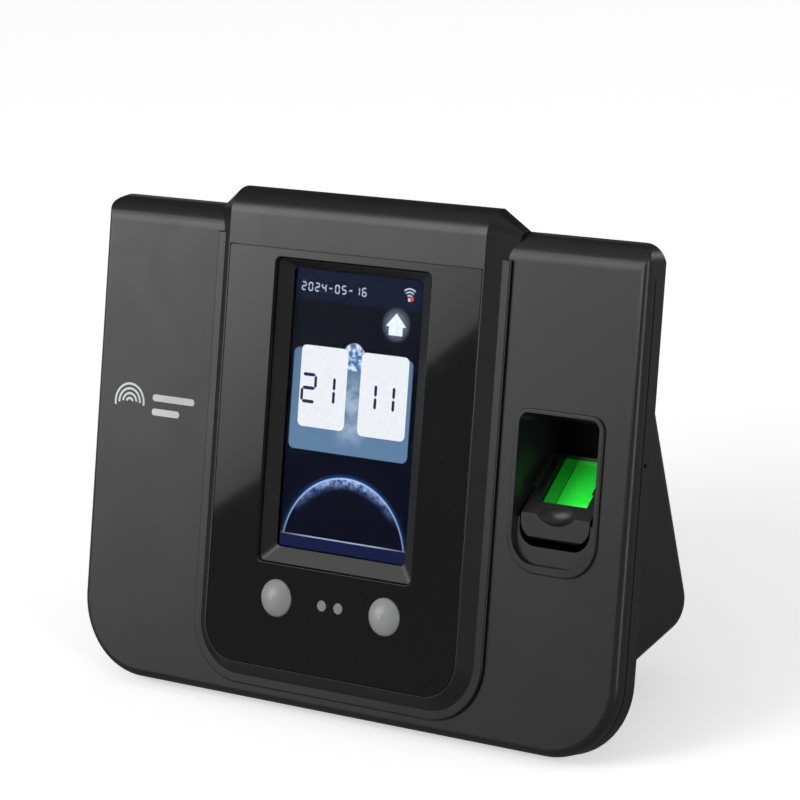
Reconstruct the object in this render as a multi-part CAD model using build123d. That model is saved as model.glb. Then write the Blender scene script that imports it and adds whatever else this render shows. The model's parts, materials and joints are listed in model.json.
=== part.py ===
from build123d import *
import os
from math import cos, radians, sin, tan

# Wall-mount face and fingerprint terminal, in millimetres.
# Row frame: origin at the middle of the wall plate's back face, +X to a viewer's right, +Y into the wall and
# +Z up.
# Panel frame, used by every piece behind the sloping front: x = u across, y = v up the panel from its lower
# front edge, and z out of the panel, so a depth n behind the front face is z = -n.

# ---------------------------------------------------------------- driving dimensions
# Whole housing
panel_width = 227.7
panel_height = 169.5
slab_depth = 10.4
wall = 2.2
lean = 23.6
top_reach = 7.141
plate_height = 80.0
bottom_corner_r = 27.0
top_corner_r = 6.0
front_edge_r = 3.0
top_round_r = 9.5
part_depth = 4.7
top_part_depth = 7.2
top_part_band = 11.0
part_groove = 0.5
tongue = 1.2
tongue_reach = 1.6
rib_band = 16.7
rib_land = 12.3
rib_relief = 0.15

# Wedge behind the slab
wedge_inset = 11.7
wedge_floor = 15.1
wedge_corner_r = 10.3
wedge_edge_r = 4.5
wedge_drop = 8.5

# Raised middle module
module_rise = 4.7
module_half = 53.7
module_slope = 53.0
module_low = 12.9
module_corner_r = 13.1
module_cap = 6.8
module_round_r = 9.3
module_skirt = 6.8
cap_wall = 2.0
foot_groove = 0.6
flange_width = 1.7
flange_rise = 1.2
ledge_half = 47.0
ledge_bottom = 24.0
ledge_top = 155.2

# Lens plate and its window
lens_half = 53.0
lens_gap = 0.25
lens_bottom = 13.4
lens_top = 156.3
lens_corner_r = 12.5
lens_thickness = 1.5
tape_thickness = 0.2
window_half = 32.5
window_bottom = 49.5
window_top = 153.0
window_corner_r = 1.8
window_chamfer = 0.6

# Display stack
bezel_margin = 0.4
bezel_border = 2.0
bezel_depth = 2.3
active_width = 53.86
active_height = 95.04
active_bottom = 55.0
touch_border = 4.6
touch_thickness = 1.0
lcd_border = 2.6
lcd_thickness = 1.6
backlight_thickness = 2.2
bracket_thickness = 0.8
bracket_margin = 7.0

# Camera covers and status lenses
cover_pitch = 46.08
cover_height = 37.3
cover_r = 6.46
cover_dome = 2.8
cover_wall = 1.0
cover_flange = 1.2
status_pitch = 6.96
status_r = 1.9
hole_gap = 0.12

# Finger well, in the right wing
well_gap = 0.45
well_width = 34.8
well_bottom = 59.1
well_top = 112.8
well_top_r = 5.0
well_bottom_r = 12.0
rim_side = 1.7
rim_top = 1.4
rim_bottom = 2.8
rim_rise = 0.8
tub_wall = 1.0
tub_depth = 30.0
tub_neck = 7.9
tub_draft = 2.0
sill_top = 77.0
sill_depth = 0.9
sill_thickness = 1.4
guide_low = 70.3
guide_gap = 2.4
guide_lip_depth = 1.0
guide_half = 13.4
guide_corner_r = 6.0
sensor_low = 81.0
sensor_low_depth = 6.0
sensor_tilt = 40.3
sensor_width = 18.4
sensor_length = 19.6
sensor_thickness = 6.0
cheek_height = 2.2
scallop_across = 12.9
scallop_along = 5.0
scallop_below = 5.6
scallop_sink = 0.2

# Wall plate and the recess that it sits in
plate_half_x = 60.0
plate_half_z = 42.0
plate_thickness = 1.5
plate_corner_r = 6.0
recess_depth = 4.5
recess_gap = 2.0
lift_travel = 9.0
hook_x = 44.0
hook_upper = 22.0
hook_lower = -24.0
hook_width = 12.0
hook_rise = 5.0
hook_gap = 0.4
screw_pitch_x = 80.0
screw_pitch_z = 60.0
screw_hole_r = 2.25
box_pitch = 60.0
box_hole_r = 2.0
cable_hole_r = 14.0
cable_hole_z = -4.0

# Switches
tamper_x = 30.0
tamper_z = -30.0
tamper_r = 1.5
tamper_proud = 1.2
tamper_travel = 1.8
tamper_seat = 2.4
tamper_size = 7.0
tamper_depth = 6.0
tamper_pad = 1.2
pin_gap = 0.05
reset_v = 98.3
reset_inset = 5.85
reset_depth = 6.9
reset_r = 0.8
reset_key_r = 0.9
reset_key_length = 2.6
reset_key_proud = 1.5
reset_travel = 0.4
reset_board_thickness = 1.2
reset_board_half = 7.0

# Clearances
clear = 0.1
part_gap = 0.3

# Boards and what is on them
board_thickness = 1.6
board_corner_r = 2.0
main_board_depth = 9.4
camera_board_half = 53.0
camera_board_v = (25.0, 47.5)
camera_base = 12.0
camera_barrel_r = 4.2
camera_top = 1.8
camera_glass_r = 5.2
camera_glass_dip = 0.6
lamp_r = 1.5
processor_place = (-12.0, 96.0)
processor_size = 17.0
processor_thickness = 1.4
memory_place = (14.0, 96.0)
memory_size = 12.0
memory_thickness = 1.0
relay_place = (-44.0, 70.0)
relay_width = 19.0
relay_height = 15.5
spreader_size = 24.0
spreader_thickness = 1.6
fin_count = 7
fin_pitch = 3.6
fin_width = 1.0
fin_height = 4.4
battery_place = (38.0, 74.0)
battery_r = 10.0
battery_thickness = 3.2
battery_seat = 0.6
holder_width = 24.0
holder_height = 22.0
holder_thickness = 3.4
lead_thickness = 0.3
display_lead_half = 10.0
sensor_lead_v = (74.3, 76.7)

# Connectors in the underside, as width by depth, with what goes into them
connector_y = -34.0
connector_board_depth = 26.0
jack_proud = 0.4
jack_height = 15.0
network_x = 0.0
network_size = (16.0, 13.4)
network_mouth = (11.8, 8.0)
network_latch = 6.0
network_bore = 12.0
usb_x = 22.0
usb_size = (14.4, 7.0)
usb_mouth = (12.5, 5.0)
usb_tongue = 11.2
usb_bore = 9.0
power_x = 42.0
power_size = (9.4, 11.0)
power_bore_r = 3.15
power_pin_r = 1.05
power_bore = 9.0
terminal_x = -30.0
terminal_size = (28.4, 9.0)
terminal_ways = 8
terminal_pitch = 3.5
terminal_wire = 2.4
terminal_bore = 7.0
terminal_screw_r = 1.1
post_r = 3.0

# Speaker and its grille
speaker_x = -72.0
speaker_r = 16.0
speaker_rim = 2.4
basket_height = 3.4
magnet_r = 9.0
magnet_thickness = 5.2
cone_r = 5.0
gasket_thickness = 1.0
gasket_width = 2.0
grille_hole_r = 1.0
grille_pitch = 4.0
grille_rings = 3

# Fasteners
case_screw_r = 1.5
case_head_r = 2.7
case_head_height = 1.1
case_screw_sink = 1.2
boss_r = 3.1
small_screw_r = 1.0
small_head_r = 1.9
small_head_height = 1.0
small_boss_r = 2.6
standoff_r = 2.6

# ---------------------------------------------------------------- values that follow
half_width = panel_width / 2
wall_reach = panel_height * sin(radians(lean)) + top_reach
top_part_start = panel_height - top_part_band
rib_start = panel_height - rib_band
rib_crest = panel_height - rib_land
wedge_end = panel_height - wedge_drop
module_top = panel_height + module_cap
top_flat = panel_height - top_round_r
wedge_half = half_width - wedge_inset
tub_half = well_width / 2 - rim_side - tub_draft + tub_wall
well_centre = wedge_half - wall - well_gap - tub_half
reset_u = half_width - reset_inset
slope = tan(radians(module_slope))
panel_frame = Plane(
    origin=(0, -wall_reach, -plate_height),
    x_dir=(1, 0, 0),
    z_dir=(0, -cos(radians(lean)), sin(radians(lean))),
)
floor_z = wedge_floor - plate_height
lens_back = -module_rise + lens_thickness
seat_depth = lens_back + tape_thickness
touch_depth = lens_back + bezel_depth
lcd_depth = touch_depth + touch_thickness + clear
backlight_depth = lcd_depth + lcd_thickness
bracket_depth = backlight_depth + backlight_thickness
camera_board_depth = bracket_depth
active_top = active_bottom + active_height
recess_floor = -recess_depth
recess_back = recess_floor - wall
far = 400.0

jack_low = floor_z + jack_proud
jack_top = jack_low + jack_height
board_back = main_board_depth + board_thickness
switch_back = recess_back - tamper_pad

# Places that several pieces share
connector_windows = [
    (network_x, network_size),
    (usb_x, usb_size),
    (power_x, power_size),
    (terminal_x, terminal_size),
]
connector_board_x = (-53.0, 57.0)
post_places = [connector_board_x[0] + 4, connector_board_x[1] - 4]
main_board_u = (-60.0, 62.0)
main_board_v = (52.0, 128.0)
standoff_places = [(side * 40.0, v) for side in (-1, 1) for v in (57.0, 122.0)]
bracket_screw_places = [(side * 51.0, v) for side in (-1, 1) for v in (62.0, 146.0)]
bezel_screw_places = [(side * 51.0, v) for side in (-1, 1) for v in (84.0, 118.0)]
camera_screw_places = [(side * 50.5, 36.0) for side in (-1, 1)]
lamp_places = [(side * u, v) for u, v in ((12, 43), (34, 31), (34, 43), (41, 37)) for side in (-1, 1)]
boss_u = half_width - wedge_inset / 2 - 0.3
boss_places = [(side * u, v) for side in (-1, 1) for u, v in ((boss_u, 44.0), (boss_u, 142.0), (52.0, 9.5))]


# ---------------------------------------------------------------- helpers
def on_panel(shape):
    """Moves a shape from the panel frame to the row frame."""
    return panel_frame.location * shape


def block(x, y, z):
    """A box from three (low, high) pairs."""
    size = [high - low for low, high in (x, y, z)]
    middle = [(high + low) / 2 for low, high in (x, y, z)]
    return Pos(*middle) * Box(*size)


def slab_block(u, v, n):
    """A box in the panel frame, from pairs across, up and in depth behind the front face."""
    return block(u, v, (-n[1], -n[0]))


def prism(face, near, deep):
    """A flat outline in the panel frame, from depth near to depth deep."""
    return Pos(0, 0, -deep) * extrude(face, deep - near)


def peg(u, v, radius, near, deep):
    """A round bar square to the panel."""
    return Pos(u, v, -(near + deep) / 2) * Cylinder(radius, deep - near)


def rounded(u, v, low_r, high_r):
    """A rectangle in the panel frame whose lower and upper corners have their own radii."""
    (left, right), (low, high) = u, v
    face = Pos((left + right) / 2, (low + high) / 2) * Rectangle(right - left, high - low)
    middle = (low + high) / 2
    if low_r > 0:
        face = fillet([p for p in face.vertices() if p.Y < middle], low_r)
    if high_r > 0:
        face = fillet([p for p in face.vertices() if p.Y > middle and p.Y > high - 0.001], high_r)
    return face


def side_profile(points, half):
    """A closed outline in (v, depth), made into a bar across the panel to each side of its middle line."""
    outline = make_face(Polyline(*[(v, -n) for v, n in points], close=True))
    upright = Plane(origin=(-half, 0, 0), x_dir=(0, 1, 0), z_dir=(1, 0, 0))
    return extrude(upright * outline, 2 * half)


def before_wall(gap=0.0):
    """Everything on the room's side of the wall's face, less a gap."""
    return block((-far, far), (-far, -gap), (-far, far))


def screw(radius, length, head_r, head_height):
    """A pan-head screw pointing to -Z, with the underside of its head at the origin and a cross recess."""
    body = Pos(0, 0, -length / 2) * Cylinder(radius, length)
    head = Pos(0, 0, head_height / 2) * Cylinder(head_r, head_height)
    head = fillet(head.edges().group_by(Axis.Z)[-1], head_height * 0.45)
    slot = Pos(0, 0, head_height) * Box(head_r * 1.1, head_r * 0.28, head_height)
    return body + head - slot - Rot(0, 0, 90) * slot


# ---------------------------------------------------------------- housing
def slab_solid(inset):
    """The flat wide part of the housing, moved inwards by inset on every face."""
    corner = bottom_corner_r - inset
    reach = half_width - inset
    top = panel_height - inset
    outline = rounded((-reach, reach), (inset, top), corner, max(top_corner_r - inset, 1.0))
    body = prism(outline, inset, slab_depth - inset)
    if front_edge_r > inset:
        body = fillet(body.edges().group_by(Axis.Z)[-1], front_edge_r - inset)
    middle_v = panel_height - top_round_r
    arc_r = top_round_r - inset
    arc_start = (middle_v, -inset)
    arc_end = (top, -top_round_r)
    turn = sin(radians(45))
    arc_middle = (middle_v + arc_r * turn, -top_round_r + arc_r * turn)
    edge = [
        Line((-10, -inset), arc_start),
        ThreePointArc(arc_start, arc_middle, arc_end),
        Line(arc_end, (top, -40)),
        Line((top, -40), (-10, -40)),
        Line((-10, -40), (-10, -inset)),
    ]
    face = make_face(Curve() + edge)
    rounder = extrude(Plane(origin=(-far, 0, 0), x_dir=(0, 1, 0), z_dir=(1, 0, 0)) * face, 2 * far)
    return on_panel(body & rounder) & before_wall(inset)


def wedge_solid(inset):
    """The deep part behind the slab, with an upright back and a level underside."""
    half = wedge_half - inset
    body = block((-half, half), (-far, -inset), (floor_z + inset, far))
    edge = body.edges().filter_by(Axis.X).group_by(Axis.Z)[0].sort_by(Axis.Y)[-1]
    body = fillet(edge, wedge_corner_r - inset)
    rim = body.edges().filter_by(lambda e: abs(abs(e.center().X) - half) < 0.01 and e.center().Y > -far + 1)
    rim = [e for e in rim if e.center().Z < far - 1]
    body = fillet(rim, wedge_edge_r - inset * 0.7)
    kept = slab_block((-far, far), (-far, wedge_end - inset), (slab_depth - wall - 0.5, far))
    return body & on_panel(kept)


def top_rib():
    """The ledge along the slab's top, whose back lies against the wall."""
    cos_lean = cos(radians(lean))
    sin_lean = sin(radians(lean))

    def on_wall(v):
        return (wall_reach - rib_relief - v * sin_lean) / cos_lean

    near = slab_depth - wall
    points = [
        (rib_start - wall, near),
        (rib_start, slab_depth),
        (rib_crest, on_wall(rib_crest)),
        (panel_height, on_wall(panel_height)),
        (panel_height, near - wall),
    ]
    body = side_profile(points, half_width - front_edge_r)
    outline = rounded((-half_width, half_width), (0, panel_height), 0, top_corner_r)
    return on_panel(body & prism(outline, 0, 40))


def housing_inner():
    """The space inside the skin."""
    return slab_solid(wall) + wedge_solid(wall) & before_wall(wall)


def front_side():
    """Everything that belongs to the front half of the housing."""
    low = slab_block((-far, far), (-far, far), (-far, part_depth))
    high = slab_block((-far, far), (top_part_start, far), (-far, top_part_depth))
    return on_panel(low + high)


def well_outline(side, top, bottom):
    """The finger well's outline, moved inwards by its own amount at the sides, top and bottom."""
    half = well_width / 2 - side
    across = (well_centre - half, well_centre + half)
    up = (well_bottom + bottom, well_top - top)
    return rounded(across, up, well_bottom_r - (side + bottom) / 2, well_top_r - (side + top) / 2)


def tub_outline():
    """The part of the finger well that goes through the front shell."""
    return well_outline(rim_side - tub_wall, rim_top - tub_wall, rim_bottom - tub_wall)


def front_shell():
    body = housing_skin & front_side()
    body -= on_panel(prism(ledge_face(), -5, wall + 3))
    body -= on_panel(prism(offset(tub_outline(), clear), -5, 12))
    for u, v in boss_places:
        body += on_panel(peg(u, v, boss_r, wall - 0.2, slab_depth - wall - clear))
        body -= on_panel(peg(u, v, case_screw_r - pin_gap, 1.2, slab_depth))
    for u, v in bracket_screw_places + camera_screw_places:
        boss = peg(u, v, small_boss_r, wall - 0.2, bracket_depth)
        body += on_panel(boss - prism(ledge_face(), -5, far))
        body -= on_panel(peg(u, v, small_screw_r - pin_gap, 1.0, slab_depth))
    for u, v in bezel_screw_places:
        body -= on_panel(peg(u, v, small_screw_r + clear, -1, slab_depth))
    return largest(body)


def tongue_face(inset):
    """The outline of the tongue that lines the two shells up, moved inwards by inset."""
    edge = wall + clear + inset
    reach = half_width - edge
    return rounded((-reach, reach), (edge, top_part_start - 2 - inset), bottom_corner_r - edge, 1)


def through_floor(radius, x, z):
    """A round bar through the floor of the wall plate's recess."""
    return Pos(x, recess_floor, z) * Rot(90, 0, 0) * Cylinder(radius, 4 * wall)


def rear_shell():
    body = housing_skin - front_side()
    outline = rounded((-half_width, half_width), (0, panel_height), bottom_corner_r, top_corner_r)
    reach = half_width - part_groove
    kept = rounded((-reach, reach), (part_groove, panel_height - part_groove), bottom_corner_r, top_corner_r)
    body -= on_panel(prism(outline - kept, part_depth, part_depth + part_groove))
    ring = prism(tongue_face(0), part_depth - tongue_reach, slab_depth - wall + 0.2)
    ring -= prism(tongue_face(tongue), 0, slab_depth)
    for u, v in boss_places:
        ring -= peg(u, v, boss_r + part_gap, 0, slab_depth)
    beside = reset_board_half + 1
    ring -= slab_block((half_width - 12, half_width), (reset_v - beside, reset_v + beside), (0, slab_depth))
    body += on_panel(ring)
    # Recess for the wall plate, with a floor of its own
    across = (-plate_half_x - recess_gap, plate_half_x + recess_gap)
    up = (-plate_half_z - lift_travel - recess_gap, plate_half_z + recess_gap)
    pan = block((across[0] - wall, across[1] + wall), (recess_back, -wall / 2), (up[0] - wall, up[1] + wall))
    body += pan
    body -= block(across, (recess_floor, 1), up)
    for x in (-hook_x, hook_x):
        for z in (hook_upper, hook_lower):
            low = z - lift_travel - plate_thickness - hook_gap
            slot_x = (x - hook_width / 2 - 1, x + hook_width / 2 + 1)
            body -= block(slot_x, (recess_back - 1, recess_floor + 1), (low, z + plate_thickness + hook_gap))
    body -= through_floor(cable_hole_r, 0, cable_hole_z)
    pad = tamper_size / 2 + 0.5
    pad_x = (tamper_x - pad, tamper_x + pad)
    body += block(pad_x, (switch_back, recess_back), (tamper_z - pad, tamper_z + pad))
    body -= through_floor(tamper_r + pin_gap, tamper_x, tamper_z)
    # Openings in the underside for the connectors, and the speaker's grille
    for x, size in connector_windows:
        reach = [side / 2 + clear for side in size]
        body -= block((x - reach[0], x + reach[0]), (connector_y - reach[1], connector_y + reach[1]),
                      (floor_z - 1, floor_z + wall + 1))
    body -= speaker_holes()
    for x in post_places:
        low = floor_z + wall / 2
        body += Pos(x, connector_y, (low + jack_top) / 2) * Cylinder(post_r, jack_top - low)
        body -= Pos(x, connector_y, jack_top) * Cylinder(small_screw_r - pin_gap, 12)
    # Case screws from behind, and the pinhole to the reset switch
    for u, v in boss_places:
        body -= on_panel(peg(u, v, case_screw_r + clear, 0, slab_depth + 1))
        body -= on_panel(peg(u, v, case_head_r + part_gap, slab_depth - case_screw_sink, slab_depth + 1))
    pin = Pos(half_width, reset_v, -reset_depth) * Rot(0, 90, 0) * Cylinder(reset_r, 4 * wall)
    return largest(body - on_panel(pin))


def speaker_holes():
    """A field of small round holes, in rings."""
    hole = Cylinder(grille_hole_r, 3 * wall)
    holes = Pos(speaker_x, connector_y, floor_z) * hole
    for ring in range(1, grille_rings + 1):
        for step in range(6 * ring):
            angle = radians(60 * step / ring)
            x = speaker_x + grille_pitch * ring * cos(angle)
            y = connector_y + grille_pitch * ring * sin(angle)
            holes += Pos(x, y, floor_z) * hole
    return holes


# ---------------------------------------------------------------- raised middle module
def module_solid(inset):
    """The raised module and its cap over the top, in the panel frame, moved inwards by inset."""
    half = module_half - inset
    round_r = module_round_r - inset
    axis_v = module_top - module_round_r
    axis_depth = module_round_r - module_rise
    foot = half + module_skirt * slope
    low = module_low + inset
    front_face = rounded((-half, half), (low, axis_v), module_corner_r - inset, 0)
    foot_face = rounded((-foot, foot), (low - module_skirt * slope, axis_v),
                        module_corner_r - inset + module_skirt * slope, 0)
    front_depth = inset - module_rise
    foot_depth = front_depth + module_skirt
    front = loft([Pos(0, 0, -foot_depth) * foot_face, Pos(0, 0, -front_depth) * front_face], ruled=True)
    front += prism(foot_face, foot_depth, slab_depth + wall)
    outline = [(-half, round_r), (half, round_r), (foot, round_r - module_skirt), (foot, 0), (-foot, 0),
               (-foot, round_r - module_skirt)]
    section = make_face(Polyline(*outline, close=True))
    upright = Plane(origin=(0, axis_v, -axis_depth), x_dir=(1, 0, 0), z_dir=(0, -1, 0))
    corner = revolve(upright * section, axis=Axis((0, axis_v, -axis_depth), (-1, 0, 0)), revolution_arc=90)
    top = extrude(Plane(origin=(0, axis_v, -axis_depth)) * section, -slab_depth)
    return front + corner + top


def ledge_face(grow=0.0):
    """The opening behind the lens plate, through the module and the front shell."""
    across = (-ledge_half - grow, ledge_half + grow)
    return rounded(across, (ledge_bottom - grow, ledge_top + grow), 3.0 + grow, 1.0 + grow)


def lens_face(grow=0.0):
    """The lens plate's outline, made larger by grow."""
    reach = lens_half + grow
    return rounded((-reach, reach), (lens_bottom - grow, lens_top + grow), lens_corner_r + grow, 0.8)


def window_face(grow=0.0):
    """The display window's outline, made larger by grow."""
    reach = window_half + grow
    up = (window_bottom - grow, window_top + grow)
    return rounded((-reach, reach), up, window_corner_r, window_corner_r)


def center_bezel():
    foot = module_half + module_rise * slope + flange_width
    low = module_low - module_rise * slope - flange_width
    corner = module_corner_r + module_rise * slope + flange_width
    flange = prism(rounded((-foot, foot), (low, top_flat), corner, 0), -flange_rise, 0)
    flange = fillet(flange.edges().group_by(Axis.Z)[-1], flange_rise / 2)
    body = on_panel(module_solid(0) + flange) & before_wall() - housing_outer
    hollow = module_solid(cap_wall) & slab_block((-far, far), (top_part_start, far), (-far, far))
    body -= on_panel(hollow) & before_wall(cap_wall)
    body -= on_panel(prism(lens_face(lens_gap), -far / 10, seat_depth))
    body -= on_panel(prism(ledge_face(), -far / 10, slab_depth))
    ring = prism(rounded((-foot - 1, foot + 1), (low - 1, top_flat), corner + 1, 0), -foot_groove, 0)
    kept = rounded((-foot + foot_groove, foot - foot_groove), (low + foot_groove, top_flat + 1),
                   corner - foot_groove, 0)
    body -= on_panel(ring - prism(kept, -1, 1))
    for u, v in bezel_screw_places:
        body -= on_panel(peg(u, v, small_screw_r - pin_gap, -2.2, 1))
    return largest(body)


def lens_plate():
    body = prism(lens_face(), -module_rise, lens_back)
    window = prism(window_face(), -module_rise - 1, lens_back + 1)
    body -= window
    rim = [e for e in body.edges().group_by(Axis.Z)[-1] if abs(e.center().X) < window_half + 0.1
           and window_bottom - 0.1 < e.center().Y < window_top + 0.1]
    body = chamfer(rim, window_chamfer)
    for side in (-1, 1):
        body -= peg(side * cover_pitch / 2, cover_height, cover_r + hole_gap, -10, 0)
        body -= peg(side * status_pitch / 2, cover_height, status_r + hole_gap, -10, 0)
    return on_panel(body)


def lens_tape():
    body = prism(lens_face(-lens_gap), lens_back, seat_depth) - prism(ledge_face(clear), -5, 5)
    return on_panel(body)


def display_bezel():
    out = window_half + bezel_border
    body = prism(rounded((-out, out), (window_bottom - bezel_border, window_top + bezel_border), 1.5, 1.5),
                 lens_back, touch_depth)
    reach = active_width / 2 + bezel_margin
    up = (active_bottom - bezel_margin, active_top + bezel_margin)
    deep = Pos(0, 0, -touch_depth) * rounded((-reach, reach), up, window_corner_r, window_corner_r)
    near = Pos(0, 0, -lens_back) * window_face(-clear)
    return on_panel(body - loft([deep, near], ruled=True))


def display_piece(border, near, thickness):
    """One flat layer of the display, with a border round its active area."""
    across = active_width / 2 + border
    up = (active_bottom - border, active_top + border)
    return prism(rounded((-across, across), up, 0.8, 0.8), near, near + thickness)


def touch_panel():
    return on_panel(display_piece(touch_border, touch_depth, touch_thickness))


def lcd_panel():
    return on_panel(display_piece(lcd_border, lcd_depth, lcd_thickness))


def lcd_backlight():
    return on_panel(display_piece(lcd_border + 0.8, backlight_depth, backlight_thickness))


def display_bracket():
    across = ledge_half + bracket_margin
    body = prism(rounded((-across, across), (active_bottom - 5, active_top + 5), 3, 3), bracket_depth,
                 bracket_depth + bracket_thickness)
    for low in (66.0, 92.0, 118.0):
        body -= prism(rounded((-22, 22), (low, low + 18), 3, 3), 0, slab_depth)
    for u, v in bracket_screw_places + standoff_places:
        body -= peg(u, v, small_screw_r + clear, 0, slab_depth)
    return on_panel(body)


def standoffs():
    post = prism(RegularPolygon(standoff_r, 6), bracket_depth + bracket_thickness, main_board_depth)
    post -= peg(0, 0, small_screw_r - pin_gap, 0, slab_depth)
    return [on_panel(Pos(u, v) * post) for u, v in standoff_places]


# ---------------------------------------------------------------- cameras and status lenses
def lens_cover(side):
    """A frosted cover: a shallow dome with a flange behind the lens plate."""
    ball = (cover_r ** 2 + cover_dome ** 2) / (2 * cover_dome)
    low = -module_rise
    dome = Pos(0, 0, -low + cover_dome - ball) * (Sphere(ball) - Sphere(ball - cover_wall))
    dome &= slab_block((-far, far), (-far, far), (-far, low))
    neck = peg(0, 0, cover_r, low, lens_back) - peg(0, 0, cover_r - cover_wall, low - 1, 0)
    flange = peg(0, 0, cover_r + 1.4, lens_back, lens_back + cover_flange)
    flange -= peg(0, 0, cover_r - cover_wall, -9, 0)
    return on_panel(Pos(side * cover_pitch / 2, cover_height) * (dome + neck + flange))


def status_lens(side):
    """A small flat lens with a light pipe down to the board."""
    u = side * status_pitch / 2
    stem = peg(u, cover_height, status_r * 0.75, -2.9, camera_board_depth - 0.8)
    return on_panel(peg(u, cover_height, status_r, -module_rise, -2.8) + stem)


def camera(side):
    """A small board camera: a square base with a threaded barrel and a glass front."""
    u = side * cover_pitch / 2
    step = 0.6
    square = Pos(u, cover_height) * RectangleRounded(camera_base, camera_base, 1)
    base = prism(square, step, camera_board_depth)
    barrel = peg(u, cover_height, camera_barrel_r, -camera_top, step)
    glass = Pos(u, cover_height, camera_top + camera_glass_r - camera_glass_dip) * Sphere(camera_glass_r)
    return on_panel(base + barrel - glass)


def camera_board():
    across = (-camera_board_half, camera_board_half)
    outline = rounded(across, camera_board_v, board_corner_r, board_corner_r)
    body = prism(outline, camera_board_depth, camera_board_depth + board_thickness)
    for u, v in camera_screw_places:
        body -= peg(u, v, small_screw_r + clear, 0, slab_depth)
    return on_panel(body)


def ir_leds():
    """Round-nosed lamps on the camera board, unseen behind the dark lens plate."""
    top = 0.6
    stem = peg(0, 0, lamp_r, -top, camera_board_depth) + Pos(0, 0, top) * Sphere(lamp_r)
    return [on_panel(Pos(u, v) * stem) for u, v in lamp_places]


# ---------------------------------------------------------------- finger well and sensor
def cavity_outline(extra):
    """The inside of the tub, moved inwards by extra all round."""
    return well_outline(rim_side + extra, rim_top + extra, rim_bottom + extra)


def lip_outline(grow, drop):
    """The finger guide's outline seen from the front, made wider by grow and lower by drop."""
    reach = guide_half + grow
    across = (well_centre - reach, well_centre + reach)
    return rounded(across, (guide_low - drop, well_top), guide_corner_r + grow, 0)


def slab_face(low, high):
    """A wide flat band of the panel between two heights."""
    return Pos(0, (low + high) / 2) * Rectangle(far, high - low)


def finger_well():
    bead = prism(well_outline(0, 0, 0), -rim_rise, 0)
    bead = fillet(bead.edges().group_by(Axis.Z)[-1], rim_rise * 0.6)
    neck = prism(tub_outline(), 0, tub_neck)
    lower = prism(cavity_outline(tub_draft - tub_wall), tub_neck - 1, tub_depth)
    body = bead + neck + lower
    draft_end = Pos(0, 0, -tub_neck) * cavity_outline(tub_draft)
    cavity = loft([draft_end, Pos(0, 0, rim_rise) * cavity_outline(0)], ruled=True)
    cavity += prism(cavity_outline(tub_draft), tub_neck - 0.5, tub_depth - tub_wall)
    sill = cavity_outline(-tub_wall / 2) & slab_face(well_bottom, sill_top)
    sill -= lip_outline(0.4, guide_gap)
    body = body - cavity + prism(sill, sill_depth, sill_depth + sill_thickness)
    slot_v = (sensor_lead_v[0] - part_gap, sensor_lead_v[1] + part_gap)
    slot_u = (well_centre - 6, well_centre + 6)
    return on_panel(body - slab_block(slot_u, slot_v, (tub_depth - 3, tub_depth + 3)))


def sensor_plane():
    """The lit window's own plane: x across, y up the slope, z out of the glass."""
    tilt = radians(sensor_tilt)
    up = (0, cos(tilt), -sin(tilt))
    out = (0, sin(tilt), cos(tilt))
    reach = sensor_length / 2
    middle = (well_centre, sensor_low + reach * up[1], -sensor_low_depth + reach * up[2])
    return Plane(origin=middle, x_dir=(1, 0, 0), z_dir=out)


def in_sensor(width, length, near, deep):
    """A box square to the lit window, from depth near to deep behind its face."""
    return sensor_plane().location * Pos(0, 0, -(near + deep) / 2) * Box(width, length, deep - near)


def finger_guide():
    tilt = radians(sensor_tilt)
    cheek = (sensor_low + cheek_height * sin(tilt), sensor_low_depth - cheek_height * cos(tilt))
    run = sensor_length - cheek_height * sin(tilt) + 1.2
    crest = (cheek[0] + run * cos(tilt), cheek[1] + run * sin(tilt))
    nose = cheek[0] - (cheek[1] - guide_lip_depth) / tan(tilt)
    floor = tub_depth - tub_wall
    points = [
        (guide_low, guide_lip_depth + 0.8),
        (guide_low + 0.8, guide_lip_depth),
        (nose, guide_lip_depth),
        crest,
        (crest[0], floor),
        (guide_low, floor),
    ]
    body = Pos(well_centre, 0, 0) * side_profile(points, guide_half)
    body &= prism(lip_outline(0, 0), 0, tub_depth)
    # The channel over the window, the window's own hole, and the pocket behind it
    body -= in_sensor(sensor_width + 0.8, sensor_length, -cheek_height * 3, 0)
    body -= in_sensor(sensor_width + 2 * clear, sensor_length + 2 * clear, -1, sensor_thickness)
    body -= in_sensor(sensor_width + 4.4, sensor_length + 3.2, sensor_thickness, sensor_thickness + 7)
    body -= slab_block((well_centre - 7, well_centre + 7), (guide_low + 3, guide_low + 8), (21, tub_depth))
    # The fingertip's scallop: a wide shallow oval over the nose, from a ring whose axis follows the slope
    dish = Pos(0, -sensor_length / 2 - scallop_below, scallop_across - scallop_sink) * Rot(90, 0, 0)
    dish *= Torus(scallop_across - scallop_along, scallop_along)
    body -= sensor_plane().location * dish
    return on_panel(largest(body))


def sensor_prism():
    return on_panel(in_sensor(sensor_width, sensor_length, clear, sensor_thickness))


def sensor_housing():
    body = in_sensor(sensor_width + 4, sensor_length + 2.8, sensor_thickness + clear, sensor_thickness + 4)
    return on_panel(body - in_sensor(sensor_width - 4, sensor_length - 4, 0, sensor_thickness + 9))


def sensor_led_board():
    near = sensor_thickness + 4
    return on_panel(in_sensor(sensor_width + 3, sensor_length + 2, near, near + 1.0))


def sensor_imager():
    near = sensor_thickness + 5
    return on_panel(in_sensor(7, 7, near, near + 1.2))


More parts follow.
